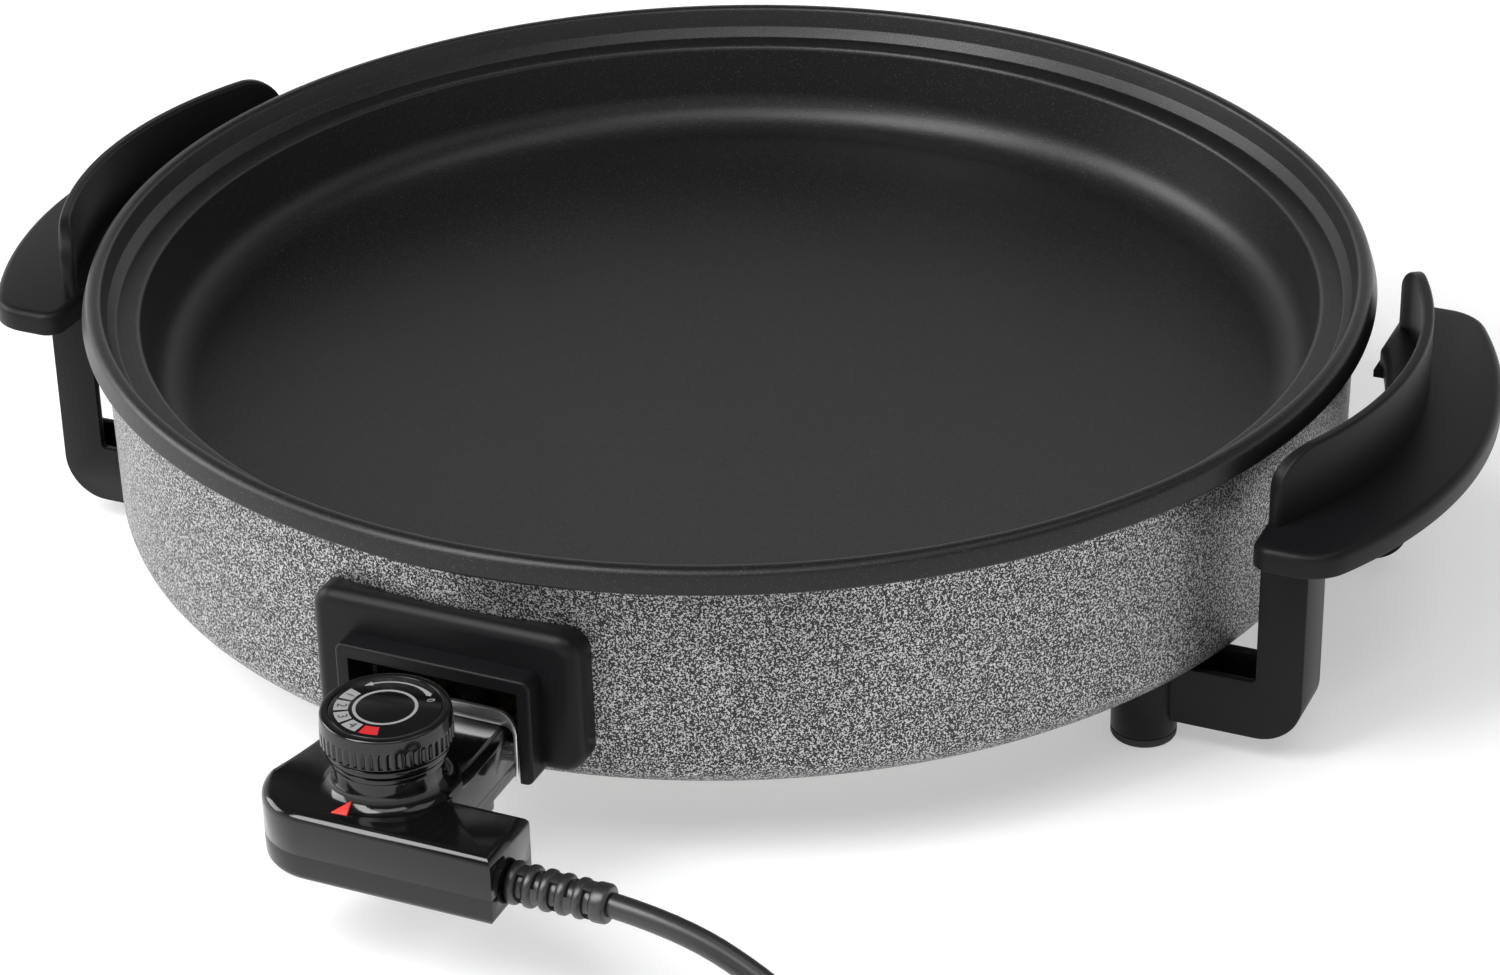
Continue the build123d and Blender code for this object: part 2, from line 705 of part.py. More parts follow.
# ================================================================ grips and legs
for side_name, side in sides.items():
    # the finger guard: a thin curved wall whose ends turn in, with round shoulders
    with BuildPart() as finger_room:
        with BuildSketch(level(grip_top_z)):
            add(bow_sector(side, grip_in_r, finger_out_r - finger_blade,
                           finger_sweep - degrees(finger_return / finger_in_r)))
        extrude(amount=finger_top_z - grip_top_z)
        fillet(upright_edges(finger_room, side)[:2], finger_bend_in)
    with BuildPart() as finger_guard:
        with BuildSketch(level(grip_top_z - grip_wall / 2)):
            add(bow_sector(side, finger_in_r, finger_out_r, finger_sweep))
        extrude(amount=finger_top_z - grip_top_z + grip_wall / 2)
        fillet(upright_edges(finger_guard, side)[:2], finger_bend_out)
        add(finger_room.part, mode=Mode.SUBTRACT)
        elevation = Plane(origin=(side * arc_centre_x, axis_y, 0), x_dir=(0, side, 0), z_dir=(side, 0, 0))
        finger_span = 2 * finger_out_r * sin(radians(finger_sweep))
        with BuildSketch(elevation):
            with Locations((0, finger_top_z / 2)):
                RectangleRounded(finger_span, finger_top_z, finger_shoulder)
        extrude(amount=grip_out_r, mode=Mode.INTERSECT)
        top_edges = finger_guard.faces().sort_by(Axis.Z)[-1].edges().filter_by(GeomType.CIRCLE)
        fillet(top_edges, finger_edge)
    with BuildPart() as grip:
        with BuildSketch(level(grip_under)) as crescent:
            with Locations((side * arc_centre_x, 0)):
                Circle(grip_out_r)
                Circle(grip_in_r, mode=Mode.SUBTRACT)
            with Locations((side * (grip_in_x + grip_out_r / 2), 0)):
                Rectangle(grip_out_r, 2 * grip_end_y, mode=Mode.INTERSECT)
            tips = crescent.vertices().group_by(lambda v: round(abs(v.Y), 3))[-1]
            fillet(tips.sort_by(lambda v: -abs(v.X))[:2], grip_corner_out)
            tips = crescent.vertices().group_by(lambda v: round(abs(v.Y), 3))[-1]
            fillet(tips.sort_by(lambda v: abs(v.X))[:2], grip_corner_in)
        extrude(amount=grip_wall)
        fillet(grip.faces().sort_by(Axis.Z)[-1].edges(), grip_edge)
        add(finger_guard.part)
        with BuildSketch(level(grip_under)):
            with Locations(*[point for point in grip_points if point[0] * side > 0]):
                Circle(screw_r)
        extrude(amount=grip_screw_depth, mode=Mode.SUBTRACT)
    keep(grip.part, f"grip_{side_name}")

for side_name, side in sides.items():
    for end_name, end in ends.items():
        foot = (side * foot_x, end * foot_y)
        with BuildPart() as leg:
            # L-shaped channel, drawn on its flank
            flank_y = axis_y + end * leg_y + side * leg_w / 2
            flank = Plane(origin=(0, flank_y, 0), x_dir=(side, 0, 0), z_dir=(0, -side, 0))
            with BuildSketch(flank) as ell:
                with BuildLine():
                    Polyline(
                        (leg_in_x, grip_under),
                        (leg_in_x, shell_z),
                        (foot_x, shell_z),
                        (foot_x, arm_z),
                        (leg_out_x, arm_z),
                        (leg_out_x, grip_under),
                        close=True,
                    )
                make_face()
                fillet(ell.vertices().sort_by_distance((leg_out_x, arm_z))[0], leg_corner)
                fillet(ell.vertices().sort_by_distance((leg_in_x, shell_z))[0], leg_crook)
            extrude(amount=leg_w)
            # the hollow of the channel, open towards the body
            with BuildSketch(flank.offset(leg_wall)) as hollow:
                with BuildLine():
                    Polyline(
                        (leg_in_x - leg_wall, grip_under - leg_wall),
                        (leg_in_x - leg_wall, shell_z + leg_wall),
                        (foot_x + foot_r, shell_z + leg_wall),
                        (foot_x + foot_r, arm_z + leg_wall),
                        (leg_out_x - leg_wall, arm_z + leg_wall),
                        (leg_out_x - leg_wall, grip_under - leg_wall),
                        close=True,
                    )
                make_face()
                inner_bend = (leg_out_x - leg_wall, arm_z + leg_wall)
                fillet(hollow.vertices().sort_by_distance(inner_bend)[0], leg_corner - leg_wall)
            extrude(amount=leg_w - 2 * leg_wall, mode=Mode.SUBTRACT)
            # the upright is also open on the side that faces the other leg of its grip
            with BuildSketch(level(shell_z)):
                with Locations((side * (leg_mid_x - leg_wall), end * (leg_y - leg_w / 2))):
                    Rectangle(leg_d, 2 * leg_wall)
            extrude(amount=grip_under - leg_wall - shell_z, mode=Mode.SUBTRACT)
            # foot post, bored for the screw that holds the leg to the body
            with BuildSketch(level(pad_h)):
                with Locations(foot):
                    Circle(foot_r)
            extrude(amount=shell_z - pad_h)
            with BuildSketch(level(pad_h)):
                with Locations(foot):
                    Circle(screw_r + hole_gap)
            extrude(amount=shell_z - pad_h, mode=Mode.SUBTRACT)
            with BuildSketch(level(pad_h)):
                with Locations(foot):
                    Circle(screw_head_r + hole_gap)
            extrude(amount=screw_recess, mode=Mode.SUBTRACT)
            # hole for the screw that holds the grip
            with BuildSketch(level(grip_under - leg_wall)):
                with Locations((side * leg_mid_x, end * leg_y)):
                    Circle(screw_r + hole_gap)
            extrude(amount=leg_wall, mode=Mode.SUBTRACT)
        keep(leg.part, f"leg_{end_name}_{side_name}")

        with BuildPart() as pad:
            with BuildSketch(level(0)):
                with Locations(foot):
                    Circle(foot_r)
            extrude(amount=pad_h)
            fillet(pad.edges().filter_by(GeomType.CIRCLE).group_by(Axis.Z)[0], pad_edge)
        keep(pad.part, f"foot_pad_{end_name}_{side_name}")

with BuildPart() as leg_screws:
    with BuildSketch(level(pad_h + screw_recess)):
        with Locations(*foot_points):
            Circle(screw_head_r)
    extrude(amount=-screw_head_h)
    with BuildSketch(level(pad_h + screw_recess)):
        with Locations(*foot_points):
            Circle(screw_r)
    extrude(amount=shell_floor + leg_nut_h + thread_proud - pad_h - screw_recess)
keep(leg_screws.part, "leg_screws")

with BuildPart() as leg_nuts:
    with BuildSketch(level(shell_floor)):
        with Locations(*foot_points):
            RegularPolygon(leg_nut_af / 2, 6, major_radius=False)
            Circle(screw_r + hole_gap, mode=Mode.SUBTRACT)
    extrude(amount=leg_nut_h)
keep(leg_nuts.part, "leg_nuts")

with BuildPart() as grip_screws:
    with BuildSketch(level(grip_under - leg_wall)):
        with Locations(*grip_points):
            Circle(screw_head_r)
    extrude(amount=-screw_head_h)
    with BuildSketch(level(grip_under - leg_wall)):
        with Locations(*grip_points):
            Circle(screw_r)
    extrude(amount=leg_wall + grip_screw_depth - grip_screw_spare)
keep(grip_screws.part, "grip_screws")

# ================================================================ thermostat housing
nose_x = -housing_left + housing_nose_r
nose_y = -housing_front + housing_nose_r
lean = sin(radians(45)) * housing_nose_r
neck = neck_w / 2
flare_end = (-neck - neck_flare, -neck_reach - neck_flare_length)
flank_middle = (-(housing_left + neck + neck_flare) / 2 + flank_bow, -housing_front + flank_back)

with BuildSketch() as housing_plan:
    with BuildLine():
        Polyline(
            flare_end,
            (-neck, -neck_reach),
            (neck, -neck_reach),
            (neck + neck_draft, -housing_back),
            (housing_right, -housing_back),
            (housing_right, -housing_front),
            (nose_x, -housing_front),
        )
        ThreePointArc((nose_x, -housing_front), (nose_x - lean, nose_y - lean), (-housing_left, nose_y))
        ThreePointArc((-housing_left, nose_y), flank_middle, flare_end)
    make_face()
    corners = housing_plan.vertices()
    fillet(corners.sort_by_distance((-neck, -neck_reach))[0], neck_corner_left)
    fillet(corners.sort_by_distance((neck, -neck_reach))[0], neck_corner_right)
    fillet(corners.sort_by_distance((neck + neck_draft, -housing_back))[0], crook_corner)
    fillet(corners.sort_by_distance((housing_right, -housing_back))[0], arm_corner_back)
    fillet(corners.sort_by_distance((housing_right, -housing_front))[0], arm_corner_front)
    fillet(corners.sort_by_distance((-housing_left, nose_y))[0], nose_blend)

cord_port = Plane(origin=(housing_right - 2 * housing_wall, axis_y - cord_reach, cord_z), z_dir=(1, 0, 0))

with BuildSketch() as housing_room:
    add(housing_plan.sketch)
    offset(amount=-housing_wall)

with BuildPart() as top_slab:
    with BuildSketch(level(parting_z)):
        add(housing_plan.sketch)
    extrude(amount=housing_top_z - parting_z)
    fillet(top_slab.faces().sort_by(Axis.Z)[-1].edges(), housing_edge)

knob_section = Plane(origin=(knob_x, axis_y - knob_reach, 0), x_dir=(1, 0, 0), z_dir=(0, -1, 0))
knob_axis = Axis((knob_x, axis_y - knob_reach, 0), (0, 0, 1))
relief_axis = Axis((0, axis_y - cord_reach, cord_z), (1, 0, 0))
relief_section = Plane(origin=(0, axis_y - cord_reach, cord_z), x_dir=(1, 0, 0), z_dir=(0, -1, 0))

with BuildPart() as lens_slope:
    with BuildSketch(Plane(origin=(0, axis_y, 0), x_dir=(0, -1, 0), z_dir=(-1, 0, 0))):
        with BuildLine():
            tip_reach = -lens_corners[0][1]
            base_reach = -lens_corners[1][1]
            Polyline(
                (tip_reach - lens_end, lens_floor_z),
                (base_reach + lens_end, lens_floor_z),
                (base_reach + lens_end, housing_top_z + lens_base_rise),
                (base_reach, housing_top_z + lens_base_rise),
                (tip_reach, housing_top_z + lens_tip_rise),
                (tip_reach - lens_end, housing_top_z + lens_tip_rise),
                close=True,
            )
        make_face()
    extrude(amount=housing_left, both=True)

with BuildPart() as thermostat_top:
    # pedestal with a flared foot, trimmed to the housing's outline
    with BuildSketch(knob_section):
        with BuildLine():
            rise = pedestal_flare * (1 - sin(radians(45)))
            Polyline(
                (0, housing_top_z - housing_edge),
                (0, pedestal_z),
                (pedestal_r, pedestal_z),
                (pedestal_r, housing_top_z + pedestal_flare),
            )
            ThreePointArc(
                (pedestal_r, housing_top_z + pedestal_flare),
                (pedestal_r + rise, housing_top_z + rise),
                (pedestal_r + pedestal_flare, housing_top_z),
            )
            Polyline(
                (pedestal_r + pedestal_flare, housing_top_z),
                (pedestal_r + pedestal_flare, housing_top_z - housing_edge),
                (0, housing_top_z - housing_edge),
            )
        make_face()
    revolve(axis=knob_axis)
    with BuildSketch(level(parting_z)):
        add(housing_plan.sketch)
    extrude(amount=pedestal_z - parting_z, mode=Mode.INTERSECT)
    add(top_slab.part)
    # hollow
    with BuildSketch(level(parting_z)):
        add(housing_room.sketch)
    extrude(amount=housing_top_z - housing_wall - parting_z, mode=Mode.SUBTRACT)
    with BuildSketch(level(housing_top_z - housing_wall)):
        with Locations((knob_x, -knob_reach)):
            Circle(pedestal_r - housing_wall)
    extrude(amount=pedestal_z - housing_top_z, mode=Mode.SUBTRACT)
    # bosses for the case screws
    with BuildSketch(level(parting_z)):
        with Locations(*case_screw_points):
            Circle(case_boss_r)
    extrude(amount=housing_top_z - housing_wall - parting_z)
    with BuildSketch(level(parting_z)):
        with Locations(*case_screw_points):
            Circle(case_screw_r)
    extrude(amount=case_screw_length + case_screw_recess + case_screw_spare - (parting_z - housing_z),
            mode=Mode.SUBTRACT)
    # shaft bore, probe and sleeve holes, cord hole, pocket of the pointer
    with BuildSketch(level(pedestal_z - housing_wall)):
        with Locations((knob_x, -knob_reach)):
            Circle(shaft_r + slide_gap)
    extrude(amount=housing_wall, mode=Mode.SUBTRACT)
    with BuildSketch(front(neck_reach, z=socket_z)):
        Circle(rod_r)
        with Locations((-pin_pitch / 2, 0), (pin_pitch / 2, 0)):
            Circle(pin_r + slide_gap + sleeve_wall)
    extrude(amount=housing_wall + sleeve_spare, mode=Mode.SUBTRACT)
    with BuildSketch(cord_port):
        Circle(relief_core_r)
    extrude(amount=3 * housing_wall, mode=Mode.SUBTRACT)
    with BuildSketch(level(lens_floor_z)):
        with BuildLine():
            Polyline(*lens_corners, close=True)
        make_face()
    extrude(amount=pedestal_flare, mode=Mode.SUBTRACT)
keep(thermostat_top.part, "thermostat_top")

with BuildPart() as pointer_lens:
    with BuildSketch(level(lens_floor_z)):
        with BuildLine():
            Polyline(*lens_corners, close=True)
        make_face()
    extrude(amount=pedestal_flare)
    add(lens_slope.part, mode=Mode.INTERSECT)
keep(pointer_lens.part, "pointer_lens")

with BuildPart() as thermostat_base:
    with BuildSketch(level(housing_z)):
        add(housing_plan.sketch)
    extrude(amount=parting_z - housing_z)
    fillet(thermostat_base.faces().sort_by(Axis.Z)[0].edges(), housing_edge)
    with BuildSketch(level(housing_z)):
        with Locations((0, -neck_foot_reach + neck_length)):
            Rectangle(2 * housing_left, 2 * neck_length)
    extrude(amount=neck_z - housing_z, mode=Mode.SUBTRACT)
    with BuildSketch(level(neck_z + housing_wall)):
        add(housing_room.sketch)
    extrude(amount=parting_z - neck_z, mode=Mode.SUBTRACT)
    with BuildSketch(level(housing_z + housing_wall)):
        add(housing_room.sketch)
        with Locations((0, -neck_foot_reach - housing_wall - housing_length)):
            Rectangle(4 * housing_right, 2 * housing_length, mode=Mode.INTERSECT)
    extrude(amount=parting_z - housing_z, mode=Mode.SUBTRACT)
    with BuildSketch(level(housing_z)):
        with Locations(*case_screw_points):
            Circle(case_boss_r)
    extrude(amount=parting_z - housing_z)
    with BuildSketch(level(housing_z)):
        with Locations(*case_screw_points):
            Circle(case_screw_r + hole_gap)
    extrude(amount=parting_z - housing_z, mode=Mode.SUBTRACT)
    with BuildSketch(level(housing_z)):
        with Locations(*case_screw_points):
            Circle(case_screw_head_r + hole_gap)
    extrude(amount=case_screw_recess, mode=Mode.SUBTRACT)
    with BuildSketch(cord_port):
        Circle(relief_core_r)
    extrude(amount=3 * housing_wall, mode=Mode.SUBTRACT)
keep(thermostat_base.part, "thermostat_base")

# steel band round the neck, open at the bottom
with BuildPart() as neck_band:
    with BuildSketch(front(neck_reach + band_back)):
        half = neck + neck_flare + band_gap
        band_h = housing_top_z + band_stand - neck_z
        with Locations((0, neck_z + band_h / 2)):
            RectangleRounded(2 * (half + band_side), band_h, band_corner)
        with Locations((0, neck_z + band_corner / 2)):
            Rectangle(2 * (half + band_side), band_corner)
        with Locations((0, (housing_top_z + band_gap) / 2)):
            RectangleRounded(2 * half, housing_top_z + band_gap, housing_edge, mode=Mode.SUBTRACT)
    extrude(amount=band_length)
keep(neck_band.part, "neck_band")

with BuildPart() as case_screws:
    with BuildSketch(level(housing_z + case_screw_recess)):
        with Locations(*case_screw_points):
            Circle(case_screw_head_r)
    extrude(amount=-case_screw_head_h)
    with BuildSketch(level(housing_z + case_screw_recess)):
        with Locations(*case_screw_points):
            Circle(case_screw_r)
    extrude(amount=case_screw_length)
keep(case_screws.part, "case_screws")

switch_back_reach = knob_reach - switch_d / 2
with BuildPart() as switch_block:
    with BuildSketch(level(housing_z + housing_wall)):
        with Locations((knob_x, -knob_reach)):
            RectangleRounded(switch_w, switch_d, switch_corner)
    extrude(amount=switch_h)
keep(switch_block.part, "switch_block")

with BuildPart() as probe_rod:
    with BuildSketch(front(rod_end_reach, z=socket_z)):
        Circle(rod_r)
    extrude(amount=switch_back_reach - rod_end_reach)
    chamfer(probe_rod.edges().group_by(Axis.Y)[-1], rod_lead)
keep(probe_rod.part, "probe_rod")

with BuildPart() as contact_sleeves:
    with BuildSketch(front(neck_reach, z=socket_z)):
        with Locations((-pin_pitch / 2, 0), (pin_pitch / 2, 0)):
            Circle(pin_r + slide_gap + sleeve_wall)
            Circle(pin_r + slide_gap, mode=Mode.SUBTRACT)
    extrude(amount=sleeve_length)
keep(contact_sleeves.part, "contact_sleeves")

# ================================================================ knob
collar_low_z = knob_foot + collar_foot_h
collar_mid_z = collar_low_z + collar_groove_h
collar_high_z = collar_mid_z + collar_ring_h
with BuildPart() as control_knob:
    with BuildSketch(knob_section) as turned:
        with BuildLine():
            Polyline(
                (0, knob_foot),
                (collar_foot_r, knob_foot),
                (collar_foot_r, collar_low_z),
                (collar_foot_r - collar_groove, collar_low_z),
                (collar_foot_r - collar_groove, collar_mid_z),
                (collar_r, collar_mid_z),
                (collar_r, collar_high_z),
                (collar_r - collar_groove, collar_high_z),
                (collar_r - collar_groove, skirt_z),
                (knob_r, skirt_z),
                (knob_r, knob_z),
                (dial_r + dial_gap, knob_z),
                (dial_r + dial_gap, knob_z - dial_h),
                (0, knob_z - dial_h),
                close=True,
            )
        make_face()
        corners = turned.vertices()
        fillet(corners.sort_by_distance((knob_r, knob_z))[0], knob_edge)
        fillet(corners.sort_by_distance((knob_r, skirt_z))[0], skirt_edge)
    revolve(axis=knob_axis)
    with BuildSketch(level(skirt_z)):
        with Locations((knob_x, -knob_reach)):
            with PolarLocations(knob_r + flute_out, flute_count):
                Circle(flute_r)
    extrude(amount=flute_top_z - skirt_z, mode=Mode.SUBTRACT)
    with BuildSketch(level(knob_foot)):
        with Locations((knob_x, -knob_reach)):
            Circle(shaft_r)
    extrude(amount=shaft_top_z - knob_foot, mode=Mode.SUBTRACT)
keep(control_knob.part, "control_knob")

with BuildPart() as knob_dial:
    with BuildSketch(level(knob_z - dial_h)):
        with Locations((knob_x, -knob_reach)):
            Circle(dial_r)
    extrude(amount=dial_h)
keep(knob_dial.part, "knob_dial")

with BuildPart() as knob_shaft:
    with BuildSketch(level(shaft_foot_z)):
        with Locations((knob_x, -knob_reach)):
            Circle(shaft_r)
    extrude(amount=shaft_top_z - shaft_foot_z)
keep(knob_shaft.part, "knob_shaft")

# ================================================================ cord and plug
with BuildPart() as strain_relief:
    with BuildSketch(relief_section):
        with BuildLine():
            pitch = relief_length / relief_ribs
            start_x = housing_right - housing_wall
            outline = [
                (start_x - relief_flange_h, 0),
                (start_x - relief_flange_h, relief_flange_r),
                (start_x, relief_flange_r),
                (start_x, relief_core_r),
                (housing_right, relief_core_r),
            ]
            for rib in range(relief_ribs):
                x = housing_right + rib * pitch
                r = relief_r + (relief_tip_r - relief_r) * rib / (relief_ribs - 1)
                outline += [
                    (x, r - relief_round),
                    (x + relief_round, r),
                    (x + relief_land * pitch, r),
                    (x + relief_slope * pitch, relief_core_r),
                ]
                if rib < relief_ribs - 1:
                    outline.append((x + pitch, relief_core_r))
            end_x = housing_right + relief_length
            outline[-2:] = [
                (end_x - relief_round, relief_tip_r),
                (end_x, relief_tip_r - relief_round),
                (end_x, 0),
            ]
            Polyline(*outline, close=True)
        make_face()
    revolve(axis=relief_axis)
keep(strain_relief.part, "strain_relief")

rest_z = cord_r + cord_lift
cord_points = [
    (housing_right + relief_length, -cord_reach, cord_z),
    (97, -256, 37.2),
    (121, -257, 27.5),
    (143, -260, 14),
    (163, -265, 5.5),
    (185, -271, rest_z),
    (206, -276.5, rest_z),
]


def bend_radii(points):
    """Radius of each bend: tangent arcs that use 0.45 of the shorter run beside them."""
    radii = []
    for before, here, after in zip(points, points[1:], points[2:]):
        run_in = Vector(*here) - Vector(*before)
        run_out = Vector(*after) - Vector(*here)
        half_turn = radians(run_in.get_angle(run_out)) / 2
        radii.append(0.45 * min(run_in.length, run_out.length) / tan(half_turn))
    return radii


cord_radii = bend_radii(cord_points)
print("cord bend radii", [round(r, 1) for r in cord_radii])
with BuildPart() as cord:
    with BuildLine(level(0)) as cord_path:
        FilletPolyline(*cord_points, radius=cord_radii)
    with BuildSketch(Plane(origin=cord_path.wires()[0] @ 0, z_dir=cord_path.wires()[0] % 0)):
        Circle(cord_r)
    sweep(path=cord_path.wires()[0])
cord_section_area = pi * cord_r ** 2
print("cord length", round(cord_path.wires()[0].length, 2),
      "volume ratio", round(cord.part.volume / (cord_section_area * cord_path.wires()[0].length), 5))
keep(cord.part, "cord")

coil_top = 2 * cord_d + cord_lift
plug_z = plug_r + cord_lift
tail_angle = coil_entry - 180
tail_start = Vector(coil_x + coil_r * cos(radians(tail_angle)),
                    axis_y - coil_reach + coil_r * sin(radians(tail_angle)), plug_z)
heading = Vector(sin(radians(tail_angle)), -cos(radians(tail_angle)), 0)
with BuildPart() as cord_coil:
    with BuildSketch(level(0)):
        with Locations((coil_x, -coil_reach)):
            Circle(coil_r + cord_d)
            Circle(coil_r - cord_d, mode=Mode.SUBTRACT)
    extrude(amount=coil_top)
    with BuildSketch(level(coil_top)):
        with Locations((coil_x, -coil_reach)):
            Circle(coil_r + cord_r)
            Circle(coil_r - cord_r, mode=Mode.SUBTRACT)
            with Locations(Location((0, 0, 0), coil_entry - 90)):
                with Locations((coil_r, 0)):
                    Rectangle(2 * coil_r, 4 * coil_r, mode=Mode.INTERSECT)
    extrude(amount=plug_z + cord_r - coil_top)
    with BuildSketch(Plane(origin=tail_start, z_dir=heading)):
        Circle(cord_r)
    extrude(amount=coil_tail)
keep(cord_coil.part, "cord_coil")

tail_end = tail_start + heading * coil_tail
across = Vector(-heading.Y, heading.X, 0)
plug_section = Plane(origin=tail_end, x_dir=heading, z_dir=across)
plug_axis = Axis(tail_end, heading)
face_end = plug_relief_length + plug_length
grip_end = face_end - plug_face
with BuildPart() as plug_relief:
    with BuildSketch(plug_section):
        with BuildLine():
            Polyline(
                (0, 0),
                (0, plug_relief_r),
                (plug_relief_length, plug_relief_r + plug_relief_swell),
                (plug_relief_length, 0),
                close=True,
            )
        make_face()
    revolve(axis=plug_axis)
keep(plug_relief.part, "plug_relief")

with BuildPart() as plug_body:
    with BuildSketch(plug_section) as plug_profile:
        with BuildLine():
            Polyline(
                (plug_relief_length, 0),
                (plug_relief_length, plug_grip_r),
                (grip_end - plug_throat, plug_grip_r + plug_grip_swell),
                (grip_end, plug_r),
                (face_end, plug_r),
                (face_end, 0),
                close=True,
            )
        make_face()
        corners = plug_profile.vertices()
        fillet(corners.sort_by_distance((plug_relief_length, plug_grip_r))[0], plug_corner)
        fillet(corners.sort_by_distance((grip_end, plug_r))[0], plug_corner)
        fillet(corners.sort_by_distance((face_end, plug_r))[0], plug_face_edge)
    revolve(axis=plug_axis)
    face_plane = Plane(origin=tail_end + heading * face_end, x_dir=across, z_dir=heading)
    with BuildSketch(face_plane):
        for up in (-1, 1):
            with Locations((0, up * (plug_r + (plug_notch_spare - plug_notch_depth) / 2))):
                Rectangle(plug_notch_w, plug_notch_depth + plug_notch_spare)
    extrude(amount=-plug_face, mode=Mode.SUBTRACT)
keep(plug_body.part, "plug_body")

with BuildPart() as plug_pins:
    with BuildSketch(face_plane):
        with Locations((-plug_pin_pitch / 2, 0), (plug_pin_pitch / 2, 0)):
            Circle(plug_pin_r)
    extrude(amount=plug_pin_length)
    fillet(plug_pins.faces().sort_by(Axis(face_plane.origin, heading))[-2:].edges(), plug_pin_nose)
keep(plug_pins.part, "plug_pins")

with BuildPart() as plug_earth_clips:
    with BuildSketch(face_plane):
        for up in (-1, 1):
            with Locations((0, up * (plug_r - plug_notch_depth + plug_clip_h / 2))):
                Rectangle(plug_clip_w, plug_clip_h)
    extrude(amount=plug_clip_back - plug_face)
keep(plug_earth_clips.part, "plug_earth_clips")
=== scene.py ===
# %% [markdown]
# # An electric skillet, from CAD frame to finished picture
#
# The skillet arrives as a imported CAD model: a cast pan in a speckled body, two crescent grips on four
# legs, and a thermostat that plugs into the front. Every piece made here sits in that same frame, in
# metres, and moves with one of the CAD bodies. The lesson goes camera and cord first, then the maths
# for materials, then the finishes, and at last each piece of the object in turn.

# %% Load the frame
import json
import math
import bmesh
import bpy
from mathutils import Matrix, Vector

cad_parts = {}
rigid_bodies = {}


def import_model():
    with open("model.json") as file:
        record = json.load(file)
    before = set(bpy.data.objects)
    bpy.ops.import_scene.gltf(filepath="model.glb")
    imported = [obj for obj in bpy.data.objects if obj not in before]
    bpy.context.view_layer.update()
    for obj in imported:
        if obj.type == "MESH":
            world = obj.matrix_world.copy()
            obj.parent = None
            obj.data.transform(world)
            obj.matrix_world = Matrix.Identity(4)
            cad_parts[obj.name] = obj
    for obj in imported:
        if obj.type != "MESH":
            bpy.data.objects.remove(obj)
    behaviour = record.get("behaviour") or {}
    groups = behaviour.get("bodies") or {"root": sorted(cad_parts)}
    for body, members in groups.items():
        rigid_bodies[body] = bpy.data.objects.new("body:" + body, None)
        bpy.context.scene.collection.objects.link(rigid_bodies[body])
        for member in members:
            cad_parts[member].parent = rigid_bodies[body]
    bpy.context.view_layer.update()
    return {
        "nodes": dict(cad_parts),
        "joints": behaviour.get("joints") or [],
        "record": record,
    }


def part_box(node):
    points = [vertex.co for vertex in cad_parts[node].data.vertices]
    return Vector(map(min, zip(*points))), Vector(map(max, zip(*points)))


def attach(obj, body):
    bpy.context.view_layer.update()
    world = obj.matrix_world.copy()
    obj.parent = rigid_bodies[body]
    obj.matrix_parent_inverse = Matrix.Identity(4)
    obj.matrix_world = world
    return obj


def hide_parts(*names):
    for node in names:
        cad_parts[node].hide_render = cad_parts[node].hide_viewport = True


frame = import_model()
MM = 0.001


# %% Small helpers
def add_object(name, data):
    """A new object in the scene, with its mesh, curve, lamp or camera."""
    made = bpy.data.objects.new(name, data)
    bpy.context.scene.collection.objects.link(made)
    return made


def towards(angle):
    """A unit vector that lies flat and points at an angle about the vertical."""
    return Vector((math.cos(angle), math.sin(angle), 0))


def rectangle(low_x, high_x, low_y, high_y):
    """The four corners of a rectangle, going round to the left."""
    return [(low_x, low_y), (high_x, low_y), (high_x, high_y), (low_x, high_y)]


def ease(t):
    """A smooth step from 0 to 1."""
    t = min(max(t, 0.0), 1.0)
    return t * t * (3 - 2 * t)


# %% [markdown]
# ## Where things are
#
# Positions are read from the CAD model where it has them. The pan's own axis is the middle of the
# casting, and the knob's axis comes from its joint.

# %% Named places
pan_low, pan_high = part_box("pan_casting")
pan_axis = Vector(((pan_low.x + pan_high.x) / 2, (pan_low.y + pan_high.y) / 2, 0))
rim_r = (pan_high.x - pan_low.x) / 2
rim_z = pan_high.z
joints = {joint["name"]: joint for joint in frame["joints"]}
knob_axis = Vector(joints["dial_turn"]["pos_m"][:2] + [0])
print("pan axis", tuple(round(v, 4) for v in pan_axis), "rim radius", round(rim_r, 4))

# %% [markdown]
# ## The camera
#
# The skillet is shown as in a catalogue, with a long lens from a little above, looking past the
# thermostat. A camera looks down its own -Z, so three turns place it: the heading about the vertical,
# the tilt down from the horizon, and a small roll about the line of sight.

# %% Camera
view_from = pan_axis + Vector((492.4, -1085.5, 682.15)) * MM
view_heading, view_tilt, view_roll = 24.157, 29.125, -1.284
camera_data = bpy.data.cameras.new("studio_camera")
camera_data.lens = 100.8
camera_data.sensor_width = 36.0
camera_data.clip_start, camera_data.clip_end = 0.05, 30.0
camera = add_object("studio_camera", camera_data)
camera.matrix_world = (
    Matrix.Translation(view_from)
    @ Matrix.Rotation(math.radians(view_heading), 4, "Z")
    @ Matrix.Rotation(math.radians(90 - view_tilt), 4, "X")
    @ Matrix.Rotation(math.radians(view_roll), 4, "Z")
)
bpy.context.scene.camera = camera
print("camera stands", round((view_from - pan_axis).length, 3), "m from the pan")

# %% [markdown]
# ## The mains cord
#
# A cord is one smooth line with a round section. A NURBS curve of order 3 draws such a line from a few
# control points, cutting softly inside each corner. The route runs out of the thermostat, down to the
# table and into a neat coil of the spare length, which ends at the plug. The coil's turns come from a
# loop: while the cord goes round, it steps from slot to slot, each step a little earlier in the turn
# than the one before, so that no strand meets another.

